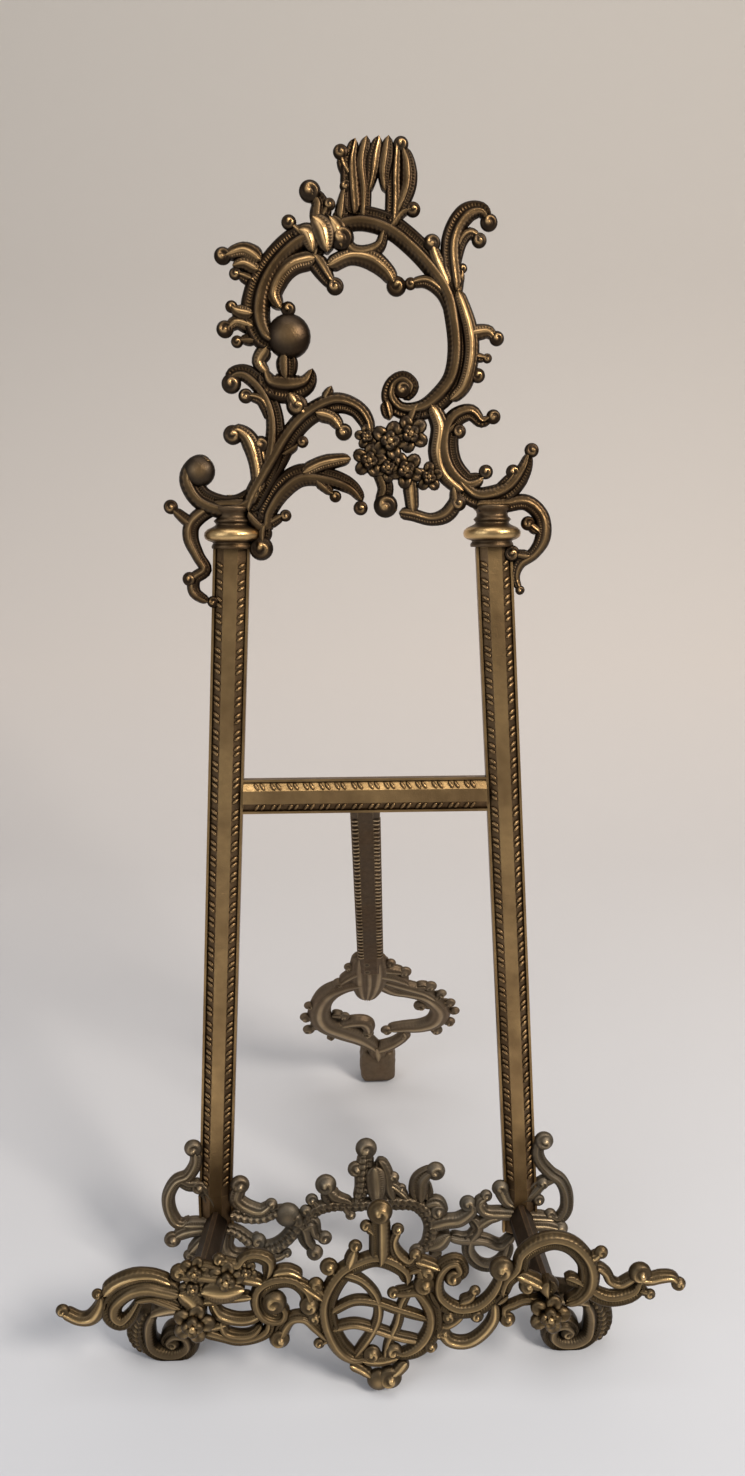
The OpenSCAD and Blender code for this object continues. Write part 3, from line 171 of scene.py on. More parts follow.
def worn_and_highlit_places(tree, crown, ridge_wear_and_highlight, edges, painted_highlight_facing):
    """Where the metal is rubbed and where a highlight is painted: ridges get both, sharp edges are
    rubbed, and faces turned a given way get a painted highlight.
    """
    do = sums(tree)
    # ridges: rubbed wear, and a painted highlight in the same mask
    rub_and_highlight = do("MULTIPLY", do("POWER", crown, 6.0), ridge_wear_and_highlight)
    if edges:
        soft = node(tree, "ShaderNodeBevel", EDGE_REACH, samples=4)
        sharp = node(tree, "ShaderNodeNewGeometry", out=1)
        turn = node(tree, "ShaderNodeVectorMath", soft, sharp, out=1, operation="DOT_PRODUCT")
        rub_and_highlight = do("MAXIMUM", rub_and_highlight, node(tree, "ShaderNodeMapRange", turn, 0.995, 0.9, 0.0, edges))
    # painted highlight on faces turned towards a given direction
    for direction, amount in painted_highlight_facing:
        flat = node(tree, "ShaderNodeNewGeometry", out=3)
        toward = node(tree, "ShaderNodeVectorMath", flat, direction, out=1,
                      operation="DOT_PRODUCT")
        rub_and_highlight = do("MAXIMUM", rub_and_highlight, node(tree, "ShaderNodeMapRange", toward, 0.97, 0.995, 0.0, amount))
    return rub_and_highlight


# %% Tool marks
VEINS, TOOL_DEPTH = 1.6, 0.00035


def tool_marks(tree):
    """Fine chisel rows along a scroll, and the veins that run with it."""
    do = sums(tree)
    run, side, comb = (node(tree, "ShaderNodeAttribute", out=2, attribute_name=key)
                       for key in ("run", "side", "comb"))

    def row(pitch, skew, middle, width):
        turns = do("ADD", do("MULTIPLY", side, skew), do("DIVIDE", run, pitch))
        wave = do("COSINE", do("MULTIPLY", math.tau, turns))
        near = bell(do, side, middle, width)
        return do("MULTIPLY", do("MULTIPLY", do("MULTIPLY_ADD", wave, 0.5, 0.5), near), comb)

    slanted = do("MULTIPLY", row(2.1, 0.7, -0.75, 0.2), 0.5)
    marks = do("MAXIMUM", row(1.15, 0.0, 0.42, 0.13), slanted)
    veins = do("MULTIPLY_ADD", do("COSINE", do("MULTIPLY", side, math.tau * VEINS)), 0.5, 0.5)
    # the grooves between the veins, for their relief and for a painted shade
    return marks, do("MULTIPLY", do("SUBTRACT", 1.0, veins), comb)


# %% The finish recipe
GRAIN_DEPTH = 0.0006


def antique_brass(name, patina, rubbed_gold_and_highlight, film, ridge_wear_and_highlight=1.0, film_amount=0.3, rough=(0.5, 0.27),
                  edges=0.0, streaks=0.0, painted_flank_shade=0.0, painted_highlight_facing=()):
    """Patina with painted shade in the hollows, rubbed metal with a painted highlight on the
    ridges, a dull film here and there.
    """
    finish = bpy.data.materials.new(name)
    finish.use_nodes = True
    tree = finish.node_tree
    tree.nodes.clear()
    do = sums(tree)
    here = node(tree, "ShaderNodeTexCoord", out=3)
    crown = node(tree, "ShaderNodeAttribute", out=2, attribute_name="crown")

    def blotches(scale, detail, low, high, stretch=(1, 1, 1)):
        spread = node(tree, "ShaderNodeMapping", here, None, None, stretch)
        speckle = node(tree, "ShaderNodeTexNoise", spread, None, scale, detail, 0.6)
        return node(tree, "ShaderNodeMapRange", speckle, low, high, 0.0, 1.0)

    # how much is rubbed and painted as highlight, how much is dulled, and how much is darkened in a
    # hollow by painted shade
    broad = blotches(38.0, 3.0, 0.36, 0.66)
    fine = blotches(420.0, 4.0, 0.35, 0.7)
    rub_and_highlight = worn_and_highlit_places(tree, crown, ridge_wear_and_highlight, edges, painted_highlight_facing)
    rub_and_highlight = do("MULTIPLY", rub_and_highlight, do("MULTIPLY_ADD", broad, 0.75, 0.4), clamp=True)
    rub_and_highlight = do("ADD", rub_and_highlight, do("MULTIPLY", do("MULTIPLY", fine, 0.22), rub_and_highlight), clamp=True)
    dull = do("MULTIPLY", do("MULTIPLY", broad, film_amount),
              do("SUBTRACT", 1.0, do("MULTIPLY", rub_and_highlight, 0.75)))
    # painted shade: ambient occlusion darkens hollows and creases, deepening their patina
    shaded = node(tree, "ShaderNodeAmbientOcclusion", None, HOLLOW_REACH, out=1, samples=6)
    hollow_patina_and_shade = do("SUBTRACT", 1.0, do("POWER", shaded, 2.0), clamp=True)
    # painted shade on each scroll's flanks, away from its ridge
    if painted_flank_shade:
        hollow_patina_and_shade = do("MAXIMUM", hollow_patina_and_shade, do("MULTIPLY", do("SUBTRACT", 1.0, crown), painted_flank_shade))
    marks, vein_grooves_and_shade = tool_marks(tree)
    # colour
    dark = darker(patina, 0.42)
    colour = mixed(tree, do("MULTIPLY", fine, 0.5), patina, dark)
    if streaks:
        streak = blotches(160.0, 3.0, 0.35, 0.68, stretch=(1.0, 0.12, 0.12))
        colour = mixed(tree, do("MULTIPLY", streak, streaks), colour, dark)
    # rubbed gold on the ridges, which is also their painted highlight
    colour = mixed(tree, rub_and_highlight, colour, rubbed_gold_and_highlight)
    colour = mixed(tree, dull, colour, film)
    # painted shade: hollows and flanks go towards a very dark patina
    colour = mixed(tree, do("MULTIPLY", hollow_patina_and_shade, 0.9), colour, darker(patina, 0.18))
    colour = mixed(tree, do("MULTIPLY", marks, 0.22), colour, rubbed_gold_and_highlight)
    # painted shade in the grooves between the veins
    colour = mixed(tree, do("MULTIPLY", vein_grooves_and_shade, 0.55), colour, dark)
    # gloss
    roughness = do("MULTIPLY_ADD", rub_and_highlight, rough[1] - rough[0], rough[0])
    roughness = do("ADD", roughness, do("MULTIPLY", dull, 0.3), clamp=True)
    # fine relief
    tooled = bumped(tree, 1.0, TOOL_DEPTH, do("SUBTRACT", do("MULTIPLY", marks, 0.7), vein_grooves_and_shade))
    pits = node(tree, "ShaderNodeTexNoise", here, None, 1500.0, 3.0, 0.6)
    lumps = node(tree, "ShaderNodeTexNoise", here, None, 260.0, 2.0, 0.5)
    grain = bumped(tree, 0.35, GRAIN_DEPTH, do("ADD", do("MULTIPLY", pits, 0.5), lumps), tooled)
    shader = tree.nodes.new("ShaderNodeBsdfPrincipled")
    for socket, value in (("Base Color", colour), ("Roughness", roughness), ("Normal", grain),
                          ("Metallic", 1.0)):
        fill(tree, shader.inputs[socket], value)
    tree.links.new(shader.outputs[0], tree.nodes.new("ShaderNodeOutputMaterial").inputs[0])
    return finish


# %% The stand's finishes
def rgb(red, green, blue):
    return (red, green, blue, 1.0)


FILM = rgb(0.13, 0.115, 0.09)
# the castings' flank setting darkens their scroll flanks with painted shade
crest_brass = antique_brass("crest_brass", rgb(0.057, 0.032, 0.017), rgb(0.68, 0.415, 0.18),
                            FILM, rough=(0.36, 0.26), painted_flank_shade=0.75)
rail_brass = antique_brass("rail_brass", rgb(0.165, 0.11, 0.055), rgb(0.82, 0.55, 0.25), FILM,
                           ridge_wear_and_highlight=1.2, rough=(0.4, 0.27), film_amount=0.35, painted_flank_shade=0.55)
lower_brass = antique_brass("lower_brass", rgb(0.245, 0.18, 0.115), rgb(0.7, 0.52, 0.3),
                            rgb(0.17, 0.18, 0.165), film_amount=0.5, rough=(0.48, 0.33),
                            painted_flank_shade=0.5)
foot_brass = antique_brass("foot_brass", rgb(0.125, 0.086, 0.048), rgb(0.68, 0.48, 0.25), FILM,
                           ridge_wear_and_highlight=1.2, rough=(0.45, 0.32), painted_flank_shade=0.5)
leg_brass = antique_brass("leg_brass", rgb(0.2, 0.135, 0.083), rgb(0.5, 0.37, 0.22),
                          rgb(0.2, 0.175, 0.13), film_amount=0.4, rough=(0.52, 0.38), edges=0.5)
leg_bar_brass = antique_brass("leg_bar_brass", rgb(0.15, 0.094, 0.052), rgb(0.72, 0.51, 0.28),
                              FILM, ridge_wear_and_highlight=2.2, rough=(0.46, 0.32), edges=0.35)
# the bars get a painted highlight on their front faces and on the crossbar's upper bevel
bar_brass = antique_brass("bar_brass", rgb(0.205, 0.122, 0.058), rgb(0.77, 0.48, 0.2), FILM,
                          rough=(0.38, 0.27), edges=0.5, streaks=0.6, film_amount=0.15,
                          painted_highlight_facing=((FRAME_FRONT, 0.5), (CROSSBAR_TOP, 0.85)))
arm_brass = antique_brass("arm_brass", rgb(0.1, 0.068, 0.046), rgb(0.42, 0.28, 0.16), FILM,
                          edges=0.5, streaks=0.9, rough=(0.45, 0.33))
capital_brass = antique_brass("capital_brass", rgb(0.16, 0.095, 0.045), rgb(0.76, 0.5, 0.22),
                              FILM, rough=(0.38, 0.28))
fastener_brass = antique_brass("fastener_brass", rgb(0.12, 0.085, 0.05), rgb(0.5, 0.36, 0.2),
                               FILM, edges=0.8)
print("finishes:", len(bpy.data.materials))

# %% [markdown]
# ## Rolled scrolls
# A rococo casting is a family of scrolls that run into each other. Each one is a path with
# a width at every point. Geometry Nodes smooths the path, sweeps a round section along it
# and then presses that section into shape: a flat back, a raised roll, a groove beside it,
# flutes on a leaf or ribs across. Drawing the paths and leaving the section to a rule keeps
# hundreds of scrolls alike, as one carver's tool would.

# %% A Geometry Nodes tree for the scrolls
def new_tree(name, inputs):
    """A geometry tree with the named inputs, and the sockets to start from."""
    tree = bpy.data.node_groups.new(name, "GeometryNodeTree")
    tree.interface.new_socket("Geometry", in_out="INPUT", socket_type="NodeSocketGeometry")
    for label, kind, value in inputs:
        socket = tree.interface.new_socket(label, in_out="INPUT", socket_type="NodeSocket" + kind)
        if value is not None:
            socket.default_value = value
    tree.interface.new_socket("Geometry", in_out="OUTPUT", socket_type="NodeSocketGeometry")
    return tree, tree.nodes.new("NodeGroupInput").outputs


def end_tree(tree, geometry, material):
    """Close a tree: real geometry, smooth shading and the finish."""
    geometry = node(tree, "GeometryNodeRealizeInstances", geometry)
    geometry = node(tree, "GeometryNodeSetShadeSmooth", geometry)
    geometry = node(tree, "GeometryNodeSetMaterial", geometry, None, material)
    tree.links.new(geometry, tree.nodes.new("NodeGroupOutput").inputs[0])


def kept(tree, geometry, name, value, kind="FLOAT"):
    """Store a value under a name on every point."""
    made = tree.nodes.new("GeometryNodeStoreNamedAttribute")
    made.data_type = kind
    tree.links.new(geometry, made.inputs["Geometry"])
    made.inputs["Name"].default_value = name
    tree.links.new(value, made.inputs["Value"])
    return made.outputs[0]


def named(tree, name, kind="FLOAT"):
    return node(tree, "GeometryNodeInputNamedAttribute", name, data_type=kind)


# %% The scroll's section
GROOVE_AT, GROOVE_WIDE, RIDGE_FROM = 0.36, 0.24, 0.45


def swept_path(tree, given):
    """Smooth the loose edges and sweep a round section along them."""
    do = sums(tree)
    path = node(tree, "GeometryNodeMeshToCurve", given["Geometry"])
    path = node(tree, "GeometryNodeCurveSplineType", path, spline_type="CATMULL_ROM")
    path = node(tree, "GeometryNodeResampleCurve", path, None, None, given["Step"], mode="LENGTH")
    path = node(tree, "GeometryNodeSetCurveNormal", path, mode="Z_UP")
    along = node(tree, "GeometryNodeSplineParameter", out=1)
    left_over = do("SUBTRACT", node(tree, "GeometryNodeSplineLength"), along)
    half = named(tree, "half_width")
    # round ends, and a far end that thins where a knob closes it
    curl = do("SUBTRACT", 1.0, do("DIVIDE", do("MINIMUM", along, left_over), half), clamp=True)
    full = do("SQRT", do("SUBTRACT", 1.02, do("MULTIPLY", curl, curl)))
    tip = node(tree, "ShaderNodeMapRange", do("DIVIDE", left_over, half), 0.0, 2.8, given["Tip"],
               1.0)
    path = kept(tree, path, "radius_here", do("MULTIPLY", half, do("MULTIPLY", full, tip)))
    path = kept(tree, path, "centre", node(tree, "GeometryNodeInputPosition"), "FLOAT_VECTOR")
    path = kept(tree, path, "across", node(tree, "GeometryNodeInputNormal"), "FLOAT_VECTOR")
    path = kept(tree, path, "along", along)
    ring = node(tree, "GeometryNodeCurvePrimitiveCircle", given["Sides"], None, None, None, 1.0)
    return node(tree, "GeometryNodeCurveToMesh", path, ring, named(tree, "radius_here"), True)


def pressed(tree, given, body):
    """Press the round section flat behind and carve it in front."""
    do = sums(tree)
    place = node(tree, "GeometryNodeInputPosition")
    centre = named(tree, "centre", "FLOAT_VECTOR")
    offset = node(tree, "ShaderNodeVectorMath", place, centre, operation="SUBTRACT")
    radius, along = named(tree, "radius_here"), named(tree, "along")
    lift = do("DIVIDE", node(tree, "ShaderNodeSeparateXYZ", offset, out=2), radius)
    side = node(tree, "ShaderNodeVectorMath", offset, named(tree, "across", "FLOAT_VECTOR"),
                out=1, operation="DOT_PRODUCT")
    side = do("MULTIPLY", do("DIVIDE", side, radius), named(tree, "lip_side"))
    is_front = do("GREATER_THAN", lift, 0.0)
    # a groove beside the roll, flutes that run along a leaf and ribs that run across
    groove = do("MULTIPLY", bell(do, side, GROOVE_AT, GROOVE_WIDE), named(tree, "groove"))
    flute = do("MULTIPLY", do("COSINE", do("MULTIPLY", side, 2 * math.tau)), named(tree, "flute"))
    turns = do("ADD", do("MULTIPLY", side, 0.3), do("DIVIDE", along, given["Rib pitch"]))
    rib = do("MULTIPLY", do("SINE", do("MULTIPLY", math.tau, turns)), named(tree, "rib"))
    height = do("MULTIPLY", lift, do("SUBTRACT", do("ADD", 1.0, rib), do("ADD", groove, flute)))
    front = do("MULTIPLY", height, named(tree, "rise"))
    back = do("MULTIPLY", given["Back"], do("MAXIMUM", do("MULTIPLY", lift, 2.5), -1.0))
    dz = do("ADD", do("MULTIPLY", front, is_front),
            do("MULTIPLY", back, do("SUBTRACT", 1.0, is_front)))
    split = node(tree, "ShaderNodeSeparateXYZ", place)
    flat = node(tree, "ShaderNodeCombineXYZ", split, split.node.outputs[1],
                do("ADD", node(tree, "ShaderNodeSeparateXYZ", centre, out=2), dz))
    # what the finish reads: crown sets the rubbed gold with its painted highlight, and the painted
    # flank shade
    ridge = do("DIVIDE", do("SUBTRACT", height, RIDGE_FROM), 1 - RIDGE_FROM, clamp=True)
    body = kept(tree, body, "crown", do("MULTIPLY", ridge, is_front, clamp=True))
    body = kept(tree, body, "run", along)
    body = kept(tree, body, "side", side)
    body = kept(tree, body, "comb", do("MULTIPLY", named(tree, "bead"), is_front))
    return node(tree, "GeometryNodeSetPosition", body, None, flat)


def scroll_tree():
    tree, given = new_tree("cast scrolls", [
        ("Step", "Float", 1.05), ("Back", "Float", 2.0), ("Sides", "Int", 22),
        ("Tip", "Float", 0.7), ("Rib pitch", "Float", 3.2), ("Finish", "Material", None)])
    end_tree(tree, pressed(tree, given, swept_path(tree, given)), given["Finish"])
    return tree


SCROLLS = scroll_tree()
print("scroll tree:", len(SCROLLS.nodes), "nodes")

# %% [markdown]
# ## Knobs and flowers
# Scrolls end in plump knobs, and small roses sit where stems meet. Both repeat, so each is
# instanced on a cloud of points that carry a radius. A knob carries a shallow spiral unless
# its depth is 0, and the rose is two rings of petals round a boss.

# %% Trees for knobs and roses
def knob_tree():
    tree, given = new_tree("knobs", [
        ("Flatness", "Float", 0.62), ("Turns", "Float", 1.15), ("Depth", "Float", 0.3),
        ("Back", "Float", 2.0), ("Finish", "Material", None)])
    do = sums(tree)
    ball = node(tree, "GeometryNodeMeshUVSphere", 24, 16, 1.0)
    place = node(tree, "ShaderNodeSeparateXYZ", node(tree, "GeometryNodeInputPosition"))
    x, y, z = place, place.node.outputs[1], place.node.outputs[2]
    out = do("SQRT", do("ADD", do("MULTIPLY", x, x), do("MULTIPLY", y, y)))
    curl = do("ADD", do("MULTIPLY", out, do("MULTIPLY", given["Turns"], math.tau)),
              do("ARCTAN2", y, x))
    curl = do("MULTIPLY", do("MULTIPLY", do("COSINE", curl), given["Depth"]),
              do("SUBTRACT", 1.0, do("POWER", out, 6.0), clamp=True))
    curl = do("MULTIPLY", curl, do("GREATER_THAN", z, 0.0))
    high = do("MULTIPLY", z, do("ADD", 1.0, curl))
    ball = kept(tree, ball, "crown", do("DIVIDE", do("SUBTRACT", high, 0.4), 0.7, clamp=True))
    ball = node(tree, "GeometryNodeSetPosition", ball, None,
                node(tree, "ShaderNodeCombineXYZ", x, y, high))
    radius = named(tree, "half_width")
    size = node(tree, "ShaderNodeCombineXYZ", radius, radius,
                do("MULTIPLY", radius, given["Flatness"]))
    turn = node(tree, "ShaderNodeCombineXYZ", None, None,
                do("MULTIPLY", node(tree, "GeometryNodeInputIndex"), 2.4))
    spots = node(tree, "GeometryNodeMeshToPoints", given["Geometry"])
    knobs = node(tree, "GeometryNodeInstanceOnPoints", spots, None, ball, None, None, turn, size)
    knobs = node(tree, "GeometryNodeRealizeInstances", knobs)
    place = node(tree, "ShaderNodeSeparateXYZ", node(tree, "GeometryNodeInputPosition"))
    low = do("MAXIMUM", place.node.outputs[2], do("MULTIPLY", given["Back"], -1.0))
    flat = node(tree, "ShaderNodeCombineXYZ", place, place.node.outputs[1], low)
    knobs = node(tree, "GeometryNodeSetPosition", knobs, None, flat)
    end_tree(tree, knobs, given["Finish"])
    return tree


def petal_ring(tree, count, reach, size, lift, tilt, turn):
    """One ring of dished petals, for a rose of radius 1."""
    do = sums(tree)
    petal = node(tree, "GeometryNodeMeshUVSphere", 12, 8, 1.0)
    spot = node(tree, "ShaderNodeSeparateXYZ", node(tree, "GeometryNodeInputPosition"))
    x, y, z = spot, spot.node.outputs[1], spot.node.outputs[2]
    dish = do("MULTIPLY", do("EXPONENT", do("MULTIPLY", do("MULTIPLY", y, y), -9.0)), -0.55)
    dish = do("MULTIPLY", dish, do("GREATER_THAN", z, 0.0))
    petal = kept(tree, petal, "crown", do("ADD", do("MULTIPLY", z, 1.15), dish, clamp=True))
    new_z = do("ADD", z, do("MULTIPLY", dish, z))
    petal = node(tree, "GeometryNodeSetPosition", petal, None,
                 node(tree, "ShaderNodeCombineXYZ", x, y, new_z))
    petal = node(tree, "GeometryNodeTransform", petal, None, (0, tilt, 0), size)
    circle = node(tree, "GeometryNodeMeshCircle", count, reach)
    number = node(tree, "GeometryNodeInputIndex")
    angle = do("ADD", do("MULTIPLY", number, math.tau / count), turn)
    spin = node(tree, "ShaderNodeCombineXYZ", None, None, angle)
    ring = node(tree, "GeometryNodeInstanceOnPoints", circle, None, petal, None, None, spin)
    return node(tree, "GeometryNodeTransform", ring, (0, 0, lift))


def rose_tree():
    tree, given = new_tree("roses", [
        ("Back", "Float", 1.5), ("Finish", "Material", None)])
    do = sums(tree)
    outer = petal_ring(tree, 5, 0.62, (0.5, 0.44, 0.36), 0.1, -0.2, 0.0)
    inner = petal_ring(tree, 4, 0.27, (0.3, 0.3, 0.3), 0.42, -0.5, 0.5)
    boss = node(tree, "GeometryNodeMeshUVSphere", 10, 6, 0.2)
    boss = node(tree, "GeometryNodeTransform", boss, (0, 0, 0.55))
    boss = kept(tree, boss, "crown", do("ADD", 0.9, 0.0))
    join = tree.nodes.new("GeometryNodeJoinGeometry")
    for part in (boss, inner, outer):
        tree.links.new(part, join.inputs[0])
    radius = named(tree, "half_width")
    spots = node(tree, "GeometryNodeMeshToPoints", given["Geometry"])
    size = node(tree, "ShaderNodeCombineXYZ", radius, radius, radius)
    turn = node(tree, "ShaderNodeCombineXYZ", None, None,
                do("MULTIPLY", node(tree, "GeometryNodeInputIndex"), 0.7))
    roses = node(tree, "GeometryNodeInstanceOnPoints", spots, None, join.outputs[0], None, None,
                 turn, size)
    end_tree(tree, roses, given["Finish"])
    return tree


KNOBS, ROSES = knob_tree(), rose_tree()
print("knob and rose trees ready")

# %% [markdown]
# ## From a tree to a piece
# A tree runs as a modifier on a mesh of loose edges or points. The result is kept as a plain
# mesh, stood up by a matrix and joined with the others of its casting. A plain mesh exports
# as it looks, and nothing is left that could change later.

# %% Run a tree and keep a plain mesh
MARKS = ["half_width", "rise", "groove", "bead", "flute", "rib", "lip_side"]
SCAFFOLD = MARKS + ["radius_here", "centre", "across", "along"]
NO_MARKS = (0.0,) * 6


def line_mesh(name, paths):
    """Paths of [x, y, z, half width, marks] points as loose edges with attributes."""
    mesh = bpy.data.meshes.new(name)
    spots, edges, marks = [], [], []
    for points in paths:
        start = len(spots)
        for x, y, z, half, mark in points:
            spots.append((x, y, z))
            marks.append((half,) + tuple(mark))
        edges += [(i, i + 1) for i in range(start, len(spots) - 1)]
    mesh.from_pydata(spots, edges, [])
    for key, values in zip(MARKS, zip(*marks)):
        mesh.attributes.new(key, "FLOAT", "POINT").data.foreach_set("value", values)
    return mesh


def grow(name, mesh, tree, matrix, **inputs):
    """Put a mesh through a tree, and return the result as a plain, placed mesh."""
    seed = bpy.data.objects.new(name, mesh)
    bpy.context.collection.objects.link(seed)
    modifier = seed.modifiers.new(name, "NODES")
    modifier.node_group = tree
    for item in tree.interface.items_tree:
        label = item.name.replace(" ", "_").lower()
        if item.in_out == "INPUT" and label in inputs:
            modifier[item.identifier] = inputs[label]
    view = bpy.context.evaluated_depsgraph_get()
    result = bpy.data.meshes.new_from_object(seed.evaluated_get(view), depsgraph=view)
    bpy.data.objects.remove(seed)
    result.transform(matrix)
    if matrix.determinant() < 0:
        result.flip_normals()
    for key in [a.name for a in result.attributes if a.name in SCAFFOLD]:
        result.attributes.remove(result.attributes[key])
    return result


# %% Join meshes into a piece that rides on a body
def joined(name, meshes, body, nodes=()):
    """One piece made of several meshes, riding on a body in place of its plain nodes."""
    piece = bpy.data.objects.new(name, meshes[0])
    bpy.context.collection.objects.link(piece)
    others = []
    for mesh in meshes[1:]:
        other = bpy.data.objects.new(name + "_part", mesh)
        bpy.context.collection.objects.link(other)
        others.append(other)
    if others:
        every = [piece] + others
        with bpy.context.temp_override(active_object=piece, object=piece, selected_objects=every,
                                       selected_editable_objects=every):
            bpy.ops.object.join()
    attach(piece, body)
    if nodes:
        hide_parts(*nodes)
    print(name, "has", len(piece.data.polygons), "faces")
    return piece


# %% [markdown]
# ## How a stroke becomes a scroll
# A stroke is a list of [x, y, width]. Wide, long strokes are rolled scrolls with a chiselled
# groove, middling ones are fluted or grooved leaves, and thin ones are stems with a light
# groove. Wider strokes also stand prouder, so the big scrolls lie over the small ones.

# %% Turn strokes into marked paths
PLAIN = (0.42, 0.6, 0.0, 0.0)
SCROLL = (0.84, 1.0, 0.0, 0.0)
LEAF = (0.0, 0.7, 0.2, 0.0)
GROOVED = (0.75, 0.8, 0.0, 0.0)
RIBBED = (0.5, 0.8, 0.0, 0.24)
LAYER = 0.13
FULLER = {SCROLL: 1.28, RIBBED: 1.2, GROOVED: 1.42, LEAF: 1.42, PLAIN: 1.4}


def stroke_length(points):
    return sum(math.dist(a[:2], b[:2]) for a, b in zip(points, points[1:]))


def section_of(points, wide):
    width = sum(p[2] for p in points) / len(points)
    if width >= 6 and stroke_length(points) > 24:
        return wide
    if width >= 4.6:
        return LEAF if len(points) % 2 else GROOVED
    return PLAIN


def paths_from(strokes, kx=1.0, ky=1.0, lift=0.0, z=0.0, wide=SCROLL, proud=0.9, swell=0.66,
               slim=1.0):
    """Marked paths for a list of strokes, stretched by kx and ky and lifted."""
    paths = []
    for number, stroke in enumerate(strokes):
        section = section_of(stroke, wide)
        tweak = LAYER * ((number * 7) % 5 - 2)
        lip = 1.0 if number % 2 else -1.0
        fuller = FULLER[section] * slim
        paths.append([(x * kx, y * ky + lift, z + tweak, width / 2 * fuller,
                       (proud + swell * width / 2,) + section + (lip,))
                      for x, y, width in stroke])
    return paths


def spots_from(balls, kx=1.0, ky=1.0, lift=0.0, z=0.0, trim=1.0):
    return [[(x * kx, y * ky + lift, z, radius * trim, NO_MARKS)] for x, y, radius in balls]


# %% Cast one piece from its strokes
BIG_BALL = 5.8
CURLED, SMOOTH = (0.3, 1.06), (0.0, 0.9)


def casting(name, strokes, balls, roses, matrix, finish, back, body, slot, nodes,
            kx=1.0, ky=1.0, lift=0.0, z=0.0, wide=SCROLL, **shape):
    """A whole casting: its scrolls, knobs and roses in one piece."""
    scrolls = grow(name, line_mesh(name, paths_from(strokes, kx, ky, lift, z, wide, **shape)),
                   SCROLLS, matrix, back=back, finish=finish)
    parts = [scrolls]
    small, big = ([b for b in balls if (b[2] >= BIG_BALL) == is_big] for is_big in (False, True))
    for chosen, (depth, trim) in ((small, CURLED), (big, SMOOTH)):
        if chosen:
            spots = spots_from(chosen, kx, ky, lift, z + 0.7, trim)
            parts.append(grow(name, line_mesh(name, spots), KNOBS, matrix, back=back - z,
                              depth=depth, finish=finish))
    if roses:
        parts.append(grow(name, line_mesh(name, spots_from(roses, kx, ky, lift, z + 0.6)),
                          ROSES, matrix, back=back, finish=finish))
    return joined(name, parts, body, nodes)


